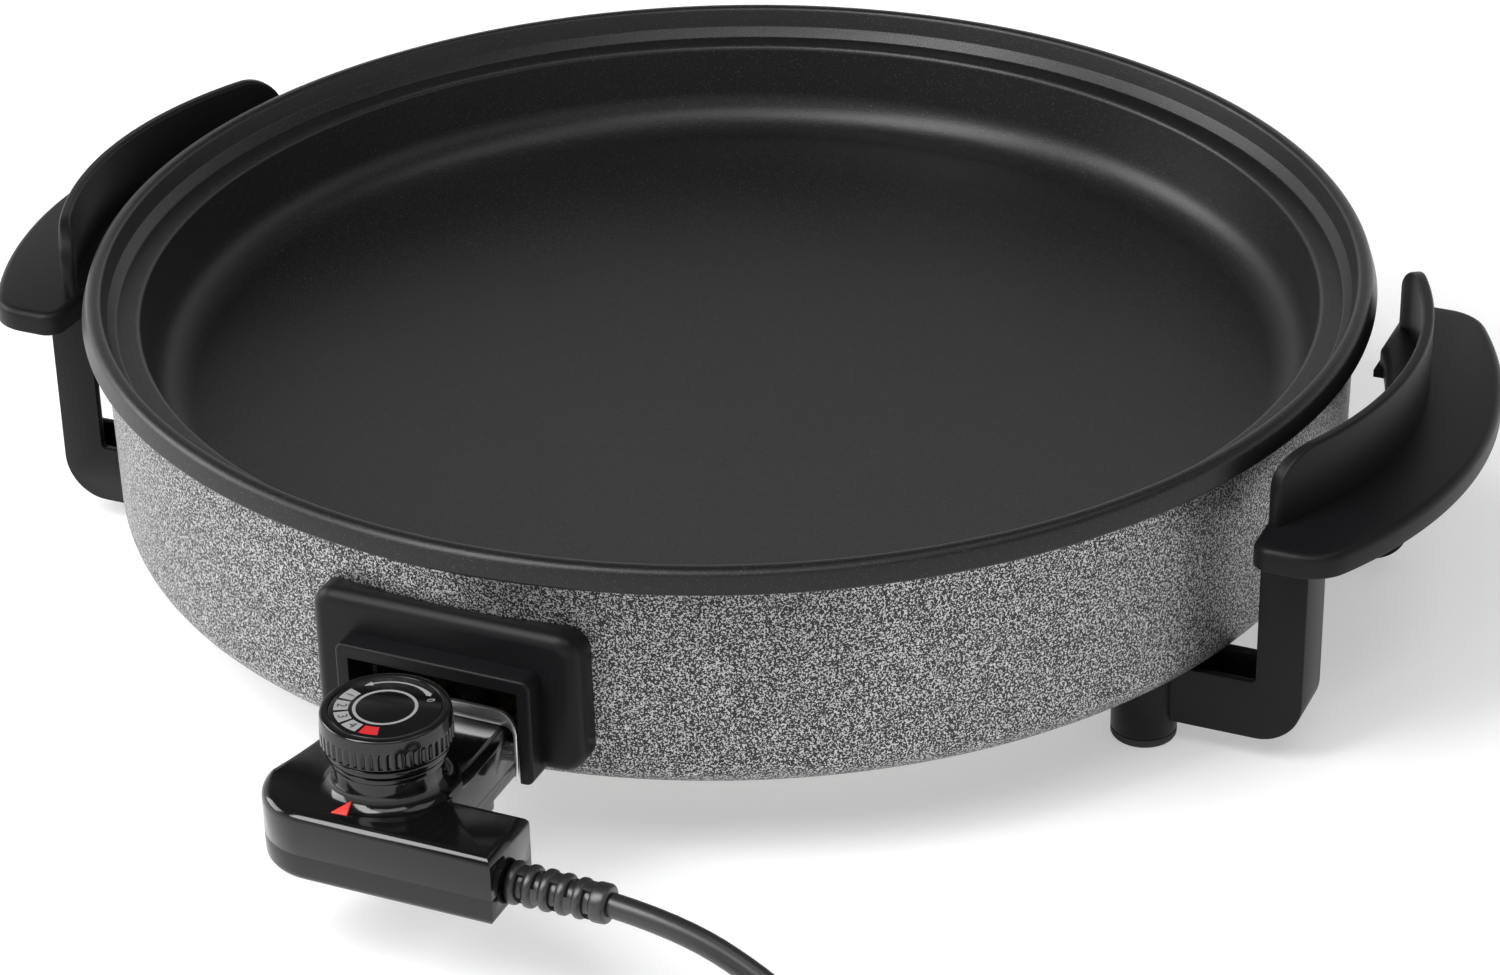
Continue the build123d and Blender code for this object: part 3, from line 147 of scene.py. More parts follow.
# %% Route of the cord
cord_d = 7.0 * MM
cord_route = [Vector(place) * MM for place in (
    (77.0, -256.0, 39.0), (97.0, -256.0, 37.2), (121.0, -257.0, 27.5), (143.0, -260.0, 14.0),
    (163.0, -265.0, 5.5), (185.0, -271.0, 3.6),
)]
coil_middle = Vector((195.0, -317.0, 0.0)) * MM
coil_entry = 75.0
coil_turns = 3.5
coil_outer, coil_inner, coil_top_r = 42.0 * MM, 34.9 * MM, 38.5 * MM
layer_z = (3.6 * MM, 10.7 * MM, 18.6 * MM)
# turn number at which each step between slots starts and ends, with radius and height after it
coil_steps = (
    (0.75, 1.00, coil_inner, layer_z[0]),
    (1.55, 1.75, coil_inner, layer_z[1]),
    (2.30, 2.55, coil_outer, layer_z[1]),
    (3.08, 3.30, coil_top_r, layer_z[2]),
)
points_per_turn = 16


def coil_place(turn):
    """Radius and height of the coiled cord after a number of turns."""
    radius, height = coil_outer, layer_z[0]
    for begins, ends, new_radius, new_height in coil_steps:
        share = ease((turn - begins) / (ends - begins))
        radius += (new_radius - radius) * share
        height += (new_height - height) * share
    return radius, height


# a quadratic spline runs inside its control points by this much
inside = (3 + math.cos(2 * math.pi / points_per_turn)) / 4
for step in range(int(coil_turns * points_per_turn) + 1):
    turn = step / points_per_turn
    radius, height = coil_place(turn)
    angle = math.radians(coil_entry - 360 * turn)
    spoke = towards(angle) * radius / inside
    cord_route.append(coil_middle + spoke + Vector((0, 0, height)))
tail_angle = math.radians(coil_entry - 360 * coil_turns)
tail_heading = Vector((math.sin(tail_angle), -math.cos(tail_angle), 0))
tail_start = coil_middle + towards(tail_angle) * coil_top_r
tail_start.z = layer_z[2]
cord_route += [tail_start + tail_heading * distance * MM for distance in (15.0, 30.0)]
cord_route = [point + pan_axis for point in cord_route]

cord_curve = bpy.data.curves.new("mains_cord", "CURVE")
cord_curve.dimensions = "3D"
cord_curve.bevel_depth = cord_d / 2
cord_curve.bevel_resolution = 6
cord_curve.resolution_u = 6
cord_curve.use_fill_caps = True
spline = cord_curve.splines.new("NURBS")
spline.points.add(len(cord_route) - 1)
for point, place in zip(spline.points, cord_route):
    point.co = (*place, 1.0)
spline.order_u = 3
spline.use_endpoint_u = True
mains_cord = add_object("mains_cord", cord_curve)

# %% [markdown]
# ## The studio
#
# Black plastic is hard to light: its shape shows only in what it mirrors. The set is a white paper
# floor under a dark ceiling, with a white band of backdrop at the horizon. Large soft boxes hang in
# front and above, far enough off to light the paper evenly, and their mirror images run along the front
# edges. The left one is tall and bright, which gives the thermostat its white edge. A low box from the
# left brightens the speckled wall, and a weak one at the right evens out the paper. The paper adds a
# little glow of its own for the eye and for mirrors, so that it reads as white while the soft shadow
# under the skillet stays.

# %% Studio floor
bpy.context.scene.view_settings.view_transform = "Standard"
floor_mesh = bpy.data.meshes.new("studio_floor")
floor_half = 6.0
floor_corners = rectangle(-floor_half, floor_half, -floor_half, floor_half)
floor_mesh.from_pydata([(x, y, 0) for x, y in floor_corners], [], [(0, 1, 2, 3)])
studio_floor = add_object("studio_floor", floor_mesh)

# %% [markdown]
# ## Shader maths in plain Python
#
# A material is a small program. One function adds a node to any tree. A number socket is wrapped in a
# class whose operators add the Math nodes, so a mask can be written as `1 - mask * 0.5`. Every other
# node comes from one method of the class that holds the material.

# %% Adding nodes
def add_node(tree, kind, settings=None, sockets=None):
    """Adds a node to a tree: its settings first, then the values or links of its sockets."""
    made = tree.nodes.new(kind)
    for key, value in (settings or {}).items():
        setattr(made, key, value)
    for key, value in (sockets or {}).items():
        target = made.inputs[key]
        value = value.socket if isinstance(value, Number) else value
        if isinstance(value, bpy.types.NodeSocket):
            tree.links.new(value, target)
        elif target.type == "RGBA" and len(value) == 3:
            target.default_value = (*value, 1.0)
        else:
            target.default_value = value
    return made


# %% Number sockets that can be added and multiplied
class Number:
    """A number in a node tree. Arithmetic on it adds Math nodes."""

    def __init__(self, finish, socket):
        self.finish = finish
        self.socket = socket

    def _math(self, operation, first, second):
        values = {0: first, 1: second}
        return self.finish.node("ShaderNodeMath", {"operation": operation}, values).number()

    def __add__(self, other):
        return self._math("ADD", self, other)

    __radd__ = __add__

    def __mul__(self, other):
        return self._math("MULTIPLY", self, other)

    def __sub__(self, other):
        return self._math("SUBTRACT", self, other)

    def __rsub__(self, other):
        return self._math("SUBTRACT", other, self)

    def larger(self, other):
        return self._math("MAXIMUM", self, other)

    def ramp(self, low, high):
        """0 below low, 1 above high, and a smooth step between."""
        settings = {"interpolation_type": "SMOOTHSTEP"}
        values = {"Value": self, "From Min": low, "From Max": high}
        return self.finish.node("ShaderNodeMapRange", settings, values).number("Result")


class Node:
    """A node that has been added, with easy access to its outputs."""

    def __init__(self, finish, node):
        self.finish = finish
        self.node = node

    def number(self, name=0):
        return Number(self.finish, self.node.outputs[name])

    def out(self, name=0):
        return self.node.outputs[name]


class Finish:
    """One material, or the world, built node by node."""

    def __init__(self, name, kept_in=bpy.data.materials):
        self.material = kept_in.new(name)
        self.material.use_nodes = True
        self.tree = self.material.node_tree
        self.tree.nodes.clear()
        self.places = self.node("ShaderNodeTexCoord")

    def node(self, kind, settings=None, sockets=None):
        return Node(self, add_node(self.tree, kind, settings, sockets))

    def noise(self, size, detail=2.0, roughness=0.5):
        """Soft noise whose features are about size metres across, 0 to 1."""
        sockets = {"Vector": self.places.out("Object"), "Scale": 1.0 / size, "Detail": detail,
                   "Roughness": roughness}
        return self.node("ShaderNodeTexNoise", None, sockets).number("Fac")

    def mix(self, share, first, second):
        """Blends two colours."""
        return self.node("ShaderNodeMix", {"data_type": "RGBA"}, {0: share, 6: first, 7: second}).out(2)

    def bump(self, height, depth, strength=1.0):
        """A Bump node: height 0 to 1 stands for depth metres."""
        sockets = {"Height": height, "Distance": depth, "Strength": strength}
        return self.node("ShaderNodeBump", None, sockets).out("Normal")

    def surface(self, **sockets):
        """Ends the material in a Principled shader; names use _ for a space."""
        named = {key.replace("_", " "): value for key, value in sockets.items()}
        shader = self.node("ShaderNodeBsdfPrincipled", None, named)
        self.node("ShaderNodeOutputMaterial", None, {"Surface": shader.out("BSDF")})
        return self.material


print("shader helpers ready")

# %% Floor and backdrop materials
paper = Finish("white_paper")
seen = paper.node("ShaderNodeLightPath")
in_mirrors = seen.number("Is Glossy Ray") + seen.number("Is Transmission Ray")
glow_share = seen.number("Is Camera Ray") + in_mirrors
diffuse = paper.node("ShaderNodeBsdfDiffuse", None, {"Color": (0.74, 0.74, 0.745)})
glow = paper.node("ShaderNodeEmission", None, {"Color": (1.0, 1.0, 1.0), "Strength": glow_share * 0.38})
both = paper.node("ShaderNodeAddShader", None, {0: diffuse.out(), 1: glow.out()})
paper.node("ShaderNodeOutputMaterial", None, {"Surface": both.out()})
floor_mesh.materials.append(paper.material)

# white backdrop at the horizon, darker from 12 to 37 degrees up; the eye sees white everywhere
horizon_white, ceiling_dark = 0.95, 0.09
sky = Finish("studio_world", bpy.data.worlds)
bpy.context.scene.world = sky.material
upward = sky.node("ShaderNodeSeparateXYZ", None, {0: sky.places.out("Generated")}).number("Z")
dome = horizon_white - upward.ramp(0.20, 0.60) * (horizon_white - ceiling_dark)
path = sky.node("ShaderNodeLightPath")
white_seen = path.number("Is Camera Ray").larger(path.number("Is Transmission Ray"))
backdrop = {"Color": (1.0, 1.0, 1.0), "Strength": white_seen.larger(dome)}
background = sky.node("ShaderNodeBackground", None, backdrop)
sky.node("ShaderNodeOutputWorld", None, {"Surface": background.out()})


# %% Lamps
def softbox(name, azimuth, elevation, distance, width, height, brightness):
    """A soft box at a direction from the pan; a brightness of 1 looks as bright as lit white paper."""
    data = bpy.data.lights.new(name, "AREA")
    data.shape = "RECTANGLE"
    data.size, data.size_y = width, height
    data.energy = brightness * math.pi * width * height
    lamp = add_object(name, data)
    turn, rise = math.radians(azimuth), math.radians(elevation)
    outward = towards(turn) * math.cos(rise) + Vector((0, 0, math.sin(rise)))
    lamp.location = pan_axis + outward * distance
    lamp.rotation_mode = "QUATERNION"
    lamp.rotation_quaternion = outward.to_track_quat("Z", "Y")


softbox("front_box", -70.0, 57.0, 3.0, 2.2, 1.0, 3.2)
softbox("front_left_box", -123.0, 50.0, 3.0, 1.1, 2.1, 9.5)
softbox("floor_fill", 15.0, 66.0, 3.2, 1.8, 1.4, 1.3)
softbox("left_box", 190.0, 24.0, 2.8, 1.6, 1.2, 5.8)
print("lamps:", [lamp.name for lamp in bpy.data.lights])

# %% [markdown]
# ## The pan's coating
#
# Non-stick coating is a resin full of fine mineral flakes, sprayed on a blasted casting. It is nearly
# black, a little satin, and glitters where a flake lies flat. Small cells pick the flakes, each with
# its own brightness, and a sandy noise makes the blasted texture underneath.

# %% Non-stick coating
coat = Finish("nonstick_coating")
flake_places = {"Vector": coat.places.out("Object"), "Scale": 1.0 / (0.5 * MM)}
flake_cells = coat.node("ShaderNodeTexVoronoi", {"feature": "F1"}, flake_places)
flake_luck = coat.node("ShaderNodeSeparateColor", None, {"Color": flake_cells.out("Color")}).number("Red")
flake = (1 - flake_cells.number("Distance").ramp(0.22, 0.42)) * flake_luck.ramp(0.74, 0.98)
grain = coat.noise(0.5 * MM, detail=3.0, roughness=0.6)
cloud = coat.noise(34 * MM)
charcoal = coat.mix(cloud, (0.0065, 0.0062, 0.0068), (0.0090, 0.0088, 0.0095))
nonstick = coat.surface(
    Base_Color=coat.mix(flake * 0.7, charcoal, (0.10, 0.10, 0.105)),
    Metallic=flake * 0.5,
    Roughness=0.31 + grain * 0.08 - flake * 0.08,
    Normal=coat.bump(grain + flake * 0.5, 0.07 * MM, 0.9),
    Specular_IOR_Level=0.40,
)

# %% [markdown]
# ## The body's enamel
#
# The steel wall is sprayed with a hammer finish: a silvery skin that shrinks back while it dries and
# leaves a maze of black pits less than a millimetre across. Two noises of different size make the maze.

# %% Speckled enamel
enamel = Finish("speckled_enamel")
grain_a = enamel.noise(0.62 * MM, detail=1.0)
grain_b = enamel.noise(0.36 * MM, detail=1.0)
pits = (grain_a * 0.55 + grain_b * 0.45).ramp(0.516, 0.546)
grey = enamel.mix(enamel.noise(2.4 * MM), (0.42, 0.42, 0.425), (0.72, 0.72, 0.725))
speckled = enamel.surface(
    Base_Color=enamel.mix(pits, (0.006, 0.006, 0.0065), grey),
    Metallic=pits * 0.75,
    Roughness=0.42 - pits * 0.06,
    Normal=enamel.bump(pits, 0.05 * MM, 0.7),
)

# %% [markdown]
# ## The black mouldings
#
# Three blacks tell the parts apart. Grips, legs and guard are phenolic, matt from a spark-eroded mould.
# The thermostat and its knob are polished, with the faint waviness of any thick moulding. The cord and
# its sleeves are soft and dull.

# %% Matt phenolic
phenolic = Finish("matt_phenolic")
skin = phenolic.noise(0.30 * MM, detail=3.0, roughness=0.65)
flow = phenolic.noise(45 * MM)
matt_black = phenolic.surface(
    Base_Color=phenolic.mix(flow, (0.0060, 0.0056, 0.0064), (0.0085, 0.0080, 0.0092)),
    Roughness=0.32 + skin * 0.10 + flow * 0.05,
    Normal=phenolic.bump(skin, 0.012 * MM, 0.6),
    Specular_IOR_Level=0.17,
)

# %% Polished housing
gloss = Finish("gloss_housing")
waviness = gloss.noise(3.0 * MM, detail=1.0)
haze = gloss.noise(14 * MM, detail=3.0)
gloss_black = gloss.surface(
    Base_Color=gloss.mix(haze, (0.0035, 0.0035, 0.004), (0.0055, 0.0055, 0.006)),
    Roughness=0.09 + haze * 0.05,
    Normal=gloss.bump(waviness, 0.004 * MM, 0.35),
    Specular_IOR_Level=0.5,
)

# %% Soft sheath of the cord
sheath = Finish("cord_sheath")
sheath_grain = sheath.noise(0.5 * MM)
soft_black = sheath.surface(
    Base_Color=sheath.mix(sheath.noise(12 * MM), (0.014, 0.014, 0.015), (0.020, 0.020, 0.021)),
    Roughness=0.30 + sheath_grain * 0.10,
    Normal=sheath.bump(sheath_grain, 0.02 * MM, 0.5),
    Specular_IOR_Level=0.75,
)

# %% [markdown]
# ## Metals and ceramic
#
# The hidden parts are what such a skillet holds: zinc-plated sheet and screws, a heater sheath browned
# by heat, a ground steel probe, brass contacts and nickel-plated pins. One recipe serves them all, with
# a slow stain in the colour and a fine grain in the roughness.


# %% Metals
def metal(name, colour, darker, roughness, grain_size, stain_size):
    """A metal with a fine grain in its roughness and slow stains in its colour."""
    made = Finish(name)
    stain = made.noise(stain_size, detail=3.0)
    fine = made.noise(grain_size)
    return made.surface(
        Base_Color=made.mix(stain, colour, darker),
        Metallic=1.0,
        Roughness=roughness + fine * 0.12,
        Normal=made.bump(fine, 0.01 * MM, 0.5),
    )


zinc = metal("zinc_plate", (0.60, 0.60, 0.58), (0.48, 0.48, 0.45), 0.30, 0.8 * MM, 6 * MM)
probe_steel = metal("probe_steel", (0.66, 0.66, 0.65), (0.56, 0.55, 0.53), 0.20, 0.4 * MM, 9 * MM)
bright_band = metal("bright_band", (0.84, 0.84, 0.83), (0.76, 0.76, 0.75), 0.26, 0.5 * MM, 7 * MM)
burnt_steel = metal("burnt_sheath", (0.22, 0.19, 0.17), (0.30, 0.29, 0.30), 0.42, 0.7 * MM, 18 * MM)
brass = metal("contact_brass", (0.74, 0.58, 0.30), (0.60, 0.46, 0.24), 0.25, 0.5 * MM, 5 * MM)
nickel = metal("nickel_plate", (0.68, 0.66, 0.62), (0.60, 0.58, 0.54), 0.20, 0.5 * MM, 5 * MM)


# %% Ceramic, rubber and print
def dull(name, colour, other, roughness, grain_size, depth):
    """A dull solid with a grain: fired clay, rubber or ink."""
    made = Finish(name)
    fine = made.noise(grain_size, detail=3.0)
    return made.surface(
        Base_Color=made.mix(fine, colour, other),
        Roughness=roughness + fine * 0.1,
        Normal=made.bump(fine, depth, 0.5),
    )


steatite = dull("steatite", (0.70, 0.67, 0.60), (0.78, 0.76, 0.70), 0.72, 1.2 * MM, 0.03 * MM)
# near black: partly a dark block, partly painted shade that keeps the socket's mouth black
dark_ceramic = dull("dark_ceramic", (0.020, 0.019, 0.018), (0.030, 0.028, 0.027), 0.62,
                    1.2 * MM, 0.03 * MM)
foot_rubber = dull("foot_rubber", (0.020, 0.020, 0.020), (0.032, 0.032, 0.031), 0.70, 0.6 * MM, 0.03 * MM)
pale_ink = dull("pale_ink", (0.26, 0.26, 0.265), (0.34, 0.34, 0.345), 0.42, 0.3 * MM, 0.004 * MM)
red_ink = dull("red_ink", (0.52, 0.012, 0.015), (0.60, 0.020, 0.022), 0.38, 0.3 * MM, 0.004 * MM)
dark_ink = dull("dark_ink", (0.010, 0.010, 0.011), (0.016, 0.016, 0.017), 0.42, 0.3 * MM, 0.004 * MM)
pointer_red = dull("pointer_red", (0.72, 0.035, 0.030), (0.80, 0.055, 0.045), 0.26, 1.5 * MM, 0.004 * MM)
print("finishes:", len(bpy.data.materials))

# %% [markdown]
# ## Helpers for pieces
#
# Round pieces are turned on a lathe: a profile is drawn once and swung about an axis. Moulded pieces
# take their mesh from the CAD, merged and with flat areas cleaned, and get the small edge rounds that
# a mould leaves, which is what catches the light.

# %% Finishing helpers
def place_object(name, mesh, body_name, material):
    """Links a mesh as a piece that rides on a body."""
    piece = add_object(name, mesh)
    mesh.materials.clear()
    mesh.materials.append(material)
    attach(piece, body_name)
    return piece


def smooth_by_angle(mesh, angle=32.0):
    for polygon in mesh.polygons:
        polygon.use_smooth = True
    mesh.set_sharp_from_angle(angle=math.radians(angle))


def finished(work, name, outward=True):
    """Turns a working mesh into a plain one, with its normals turned outward."""
    if outward:
        bmesh.ops.recalc_face_normals(work, faces=work.faces)
    mesh = bpy.data.meshes.new(name)
    work.to_mesh(mesh)
    work.free()
    return mesh


def rounded(points, radii, steps=6):
    """A closed outline with its corners rounded; radii[i] belongs to points[i]."""
    outline = []
    count = len(points)
    for i, (corner, radius) in enumerate(zip(points, radii)):
        corner = Vector(corner)
        if radius <= 0:
            outline.append(corner)
            continue
        before = (Vector(points[i - 1]) - corner).normalized()
        after = (Vector(points[(i + 1) % count]) - corner).normalized()
        half = before.angle(after) / 2
        middle = corner + (before + after).normalized() * radius / math.sin(half)
        spoke = corner + before * radius / math.tan(half) - middle
        turn = spoke.angle_signed(corner + after * radius / math.tan(half) - middle)
        for k in range(steps + 1):
            c, s = math.cos(turn * k / steps), math.sin(turn * k / steps)
            outline.append(middle + Vector((spoke.x * c + spoke.y * s, spoke.y * c - spoke.x * s)))
    return outline


def stacked(rings, name="stacked", closed=True):
    """A solid through rings of (x, y, z) with as many points each, or an open sheet through rows."""
    work = bmesh.new()
    rings = [[work.verts.new(point) for point in ring] for ring in rings]
    for one, other in zip(rings, rings[1:]):
        for k in range(len(one) if closed else len(one) - 1):
            n = (k + 1) % len(one)
            work.faces.new((one[k], one[n], other[n], other[k]))
    if closed:
        work.faces.new(rings[0])
        work.faces.new(rings[-1])
    return finished(work, name, outward=closed)


def prism(name, outline, low, high):
    """An upright prism over a flat outline of (x, y)."""
    return stacked([[(x, y, z) for x, y in outline] for z in (low, high)], name)


def lathe(name, outline, centre, segments=256):
    """Swings a closed outline of (radius, height) about the vertical through centre."""
    work = bmesh.new()
    circle = [towards(2 * math.pi * k / segments) for k in range(segments)]
    rings = []
    for radius, height in outline:
        middle = Vector((centre.x, centre.y, height))
        spokes = circle if radius > 1e-7 else [Vector((0, 0, 0))]
        rings.append([work.verts.new(middle + spoke * radius) for spoke in spokes])
    for low, high in zip(rings, rings[1:] + rings[:1]):
        if len(low) == len(high) == 1:
            continue
        for k in range(segments):
            n = (k + 1) % segments
            corners = [low[k % len(low)], low[n % len(low)], high[n % len(high)], high[k % len(high)]]
            work.faces.new(list(dict.fromkeys(corners)))
    bmesh.ops.remove_doubles(work, verts=work.verts, dist=1e-7)
    mesh = finished(work, name)
    smooth_by_angle(mesh)
    return mesh


def evaluated_mesh(carrier, name):
    """Turns an object with its modifiers into a plain mesh, and removes the object and its data."""
    mesh = bpy.data.meshes.new_from_object(carrier.evaluated_get(bpy.context.evaluated_depsgraph_get()))
    mesh.name = name
    bpy.data.batch_remove([carrier, carrier.data])
    return mesh


def moulded(node, edge=0.4 * MM, steps=2, angle=40.0):
    """A copy of a CAD node's mesh with merged points and clean flats, its outer edges softly rounded."""
    work = bmesh.new()
    work.from_mesh(frame["nodes"][node].data)
    bmesh.ops.remove_doubles(work, verts=work.verts, dist=2e-6)
    bmesh.ops.dissolve_limit(work, angle_limit=math.radians(0.4), verts=work.verts, edges=work.edges)
    weight = work.edges.layers.float.new("bevel_weight_edge")
    for line in work.edges:
        sharp = len(line.link_faces) == 2 and line.calc_face_angle(0.0) > math.radians(angle)
        line[weight] = 1.0 if sharp and line.is_convex else 0.0
    mesh = finished(work, node + "_form", outward=False)
    if edge > 0:
        carrier = add_object(node + "_carrier", mesh)
        bevel = carrier.modifiers.new("edge", "BEVEL")
        bevel.width = edge
        bevel.segments = steps
        bevel.limit_method = "WEIGHT"
        bevel.use_clamp_overlap = True
        mesh = evaluated_mesh(carrier, node + "_form")
    smooth_by_angle(mesh)
    return mesh


def joined(name, meshes, merge=0.0):
    """Several meshes as one; points that lie closer together than merge become one."""
    work = bmesh.new()
    for mesh in meshes:
        work.from_mesh(mesh)
    if merge > 0:
        bmesh.ops.remove_doubles(work, verts=work.verts, dist=merge)
    whole = finished(work, name, outward=False)
    smooth_by_angle(whole)
    return whole


def carved(name, mesh, cutter):
    """The first mesh with the second one cut out of it."""
    tool, carrier = add_object(name + "_tool", cutter), add_object(name + "_carrier", mesh)
    cut = carrier.modifiers.new("cut", "BOOLEAN")
    cut.operation = "DIFFERENCE"
    cut.solver = "EXACT"
    cut.object = tool
    result = evaluated_mesh(carrier, name)
    bpy.data.batch_remove([tool, cutter])
    smooth_by_angle(result)
    return result


def stand_for(name, mesh, node, material):
    """A finished piece that takes the place of one CAD node, on its body and with the given finish."""
    piece = place_object(name, mesh, bodies_of[node], material)
    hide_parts(node)
    return piece


def dress(node, material):
    """Gives a CAD node that stays as it is its finish."""
    source = frame["nodes"][node]
    source.data.materials.clear()
    source.data.materials.append(material)


bodies_of = {n: b for b, members in frame["record"]["behaviour"]["bodies"].items() for n in members}

# %% [markdown]
# ## Shapes that repeat
#
# A tree of geometry nodes copies one shape as often as the real part repeats it. The first tree sets
# copies in a row or a ring: each is one step further along and one turn further round than the last,
# which serves the knob's flutes and the webs of the cord's sleeve. The second puts a copy on every
# point of a mesh, standing along that point's own direction, which serves the screws.


# %% Geometry node trees
def new_tree(name, sockets):
    """A tree with its named inputs; gives the tree and the sockets to link from."""
    tree = bpy.data.node_groups.new(name, "GeometryNodeTree")
    tree.interface.new_socket("Geometry", in_out="OUTPUT", socket_type="NodeSocketGeometry")
    for label, kind in (("Geometry", "Geometry"), ("One", "Object"), *sockets, ("Finish", "Material")):
        tree.interface.new_socket(label, in_out="INPUT", socket_type="NodeSocket" + kind)
    return tree, tree.nodes.new("NodeGroupInput").outputs


def index_times(tree, amount):
    """The number of each point times an amount."""
    factors = {0: add_node(tree, "GeometryNodeInputIndex").outputs[0], 1: amount}
    return add_node(tree, "ShaderNodeMath", {"operation": "MULTIPLY"}, factors).outputs[0]


def end_tree(tree, given, points, rotation):
    """Sets the one shape on the points, makes the copies real and gives them their finish."""
    shape = add_node(tree, "GeometryNodeObjectInfo", None, {"Object": given["One"]})
    setting = {"Points": points, "Instance": shape.outputs["Geometry"], "Rotation": rotation}
    copies = add_node(tree, "GeometryNodeInstanceOnPoints", None, setting)
    real = add_node(tree, "GeometryNodeRealizeInstances", None, {0: copies.outputs[0]})
    dressing = {"Geometry": real.outputs[0], "Material": given["Finish"]}
    coloured = add_node(tree, "GeometryNodeSetMaterial", None, dressing)
    add_node(tree, "NodeGroupOutput", None, {0: coloured.outputs[0]})


row_sockets = (("Copies", "Int"), ("First place", "Vector"), ("Step", "Vector"), ("Axis", "Vector"),
               ("Turn", "Float"))
row_tree, given = new_tree("copies_in_a_row", row_sockets)
places = add_node(row_tree, "GeometryNodeMeshLine", None, {
    "Count": given["Copies"], "Start Location": given["First place"], "Offset": given["Step"]})
rotation = add_node(row_tree, "FunctionNodeAxisAngleToRotation", None, {
    "Axis": given["Axis"], "Angle": index_times(row_tree, given["Turn"])})
end_tree(row_tree, given, places.outputs[0], rotation.outputs[0])

point_tree, given = new_tree("copies_on_points", (("Spin", "Float"),))
direction_of = add_node(point_tree, "GeometryNodeInputNamedAttribute", {"data_type": "FLOAT_VECTOR"}, {
    "Name": "stands_along"})
upright = add_node(point_tree, "FunctionNodeAlignRotationToVector", {"axis": "Z"}, {
    "Vector": direction_of.outputs["Attribute"]})
about = add_node(point_tree, "FunctionNodeAxisAngleToRotation", None, {
    "Axis": (0, 0, 1), "Angle": index_times(point_tree, given["Spin"])})
both_turns = add_node(point_tree, "FunctionNodeRotateRotation", {"rotation_space": "LOCAL"}, {
    "Rotation": upright.outputs[0], "Rotate By": about.outputs[0]})
end_tree(point_tree, given, given["Geometry"], both_turns.outputs[0])


def grown(name, tree, one, values, base=None):
    """Runs a tree on a base mesh with one shape to copy, and returns the plain mesh."""
    model = add_object(name + "_one", one)
    carrier = add_object(name + "_carrier", base or bpy.data.meshes.new(name + "_base"))
    growth = carrier.modifiers.new("growth", "NODES")
    growth.node_group = tree
    values = dict(values, One=model)
    for item in tree.interface.items_tree:
        if item.item_type == "SOCKET" and item.in_out == "INPUT" and item.name in values:
            growth[item.identifier] = values[item.name]
    mesh = evaluated_mesh(carrier, name)
    bpy.data.batch_remove([model, one])
    return joined(name, [mesh], merge=2e-6)


print("trees:", row_tree.name, "and", point_tree.name)

# %% [markdown]
# ## The pan
#
# A die-cast pan is a body of revolution, so a lathe is the honest tool. The outline runs from the
# middle of the cooking floor up the wall, over the ledge and the step, round the bead of the rim and
# back underneath. Only the corners that the casting has are rounded.

# %% Pan
floor_z, floor_under = 65.6 * MM, 62.1 * MM
bead_z, ledge_z = 96.9 * MM, 94.3 * MM
pan_outline = rounded(
    [
        (0, floor_z), (182.5 * MM, floor_z), (185.0 * MM, ledge_z), (192.5 * MM, ledge_z),
        (195.0 * MM, 97.6 * MM), (196.6 * MM, rim_z), (200.8 * MM, rim_z), (rim_r, bead_z),
        (195.1 * MM, bead_z), (195.1 * MM, 91.3 * MM), (188.0 * MM, 91.3 * MM), (185.5 * MM, floor_under),
        (0, floor_under),
    ],
    [v * MM for v in (0, 13.0, 2.0, 0.8, 1.2, 1.8, 3.0, 0.8, 0, 0, 1.5, 16.0, 0)],
    steps=8,
)
stand_for("pan", lathe("pan", pan_outline, pan_axis), "pan_casting", nonstick)
print("pan outline:", len(pan_outline), "points")

# %% [markdown]
# ## The body
#
# The wall is a drawn steel ring with a turned-in bottom. It is turned on the same lathe, and the
# window for the thermostat's neck is then cut through the front.

# %% Outer shell
shell_low, shell_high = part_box("outer_shell")
shell_r = 196.5 * MM
shell_outline = rounded(
    [
        (shell_r, shell_high.z), (195.5 * MM, shell_low.z), (150.0 * MM, shell_low.z),
        (150.0 * MM, 28.5 * MM), (194.3 * MM, 28.5 * MM), (195.3 * MM, shell_high.z),
    ],
    [v * MM for v in (0, 11.0, 0, 0, 9.8, 0)],
    steps=10,
)
window_half, window_low, window_high = 26.0 * MM, 40.0 * MM, 62.0 * MM
window = rounded(rectangle(-window_half, window_half, window_low, window_high), [3.0 * MM] * 4)
window_block = prism("window", window, 180.0 * MM, 210.0 * MM)
# the prism stands on the ground plane, so it is tipped to face the front
window_block.transform(Matrix.Translation(pan_axis) @ Matrix.Rotation(math.radians(90), 4, "X"))
outer_wall = carved("outer_wall", lathe("outer_wall", shell_outline, pan_axis), window_block)
stand_for("outer_wall", outer_wall, "outer_shell", speckled)
print("outer wall:", len(outer_wall.polygons), "faces")

# %% [markdown]
# ## Guard and legs
#
# These are compression mouldings, and their forms come from the CAD. Inner corners stay crisp, as they
# do in the mould.

# %% Black mouldings of the skillet
corner_names = [f"{end}_{side}" for end in ("front", "rear") for side in ("left", "right")]
for node in ["socket_guard"] + ["leg_" + corner for corner in corner_names]:
    form = moulded(node, edge=0.5 * MM)
    stand_for(node.replace("socket_", "") + "_moulding", form, node, matt_black)
    print(node, len(form.polygons), "faces")
for corner in corner_names:
    pad = "foot_pad_" + corner
    stand_for(f"pad_{corner}_moulding", moulded(pad, edge=0), pad, foot_rubber)

# %% [markdown]
# ## The grips
#
# A grip is a crescent plate with an upright finger guard that keeps the hand off the hot rim. The
# plate's outline is two arcs and rounded tips, so it can be written down exactly, and its edges are
# rounded layer by layer. The guard is a thin wall along an arc. At every station it has a thickness and
# a height, and three soft curves shape its ends: the shoulder, the turned-in flange and the round nose.

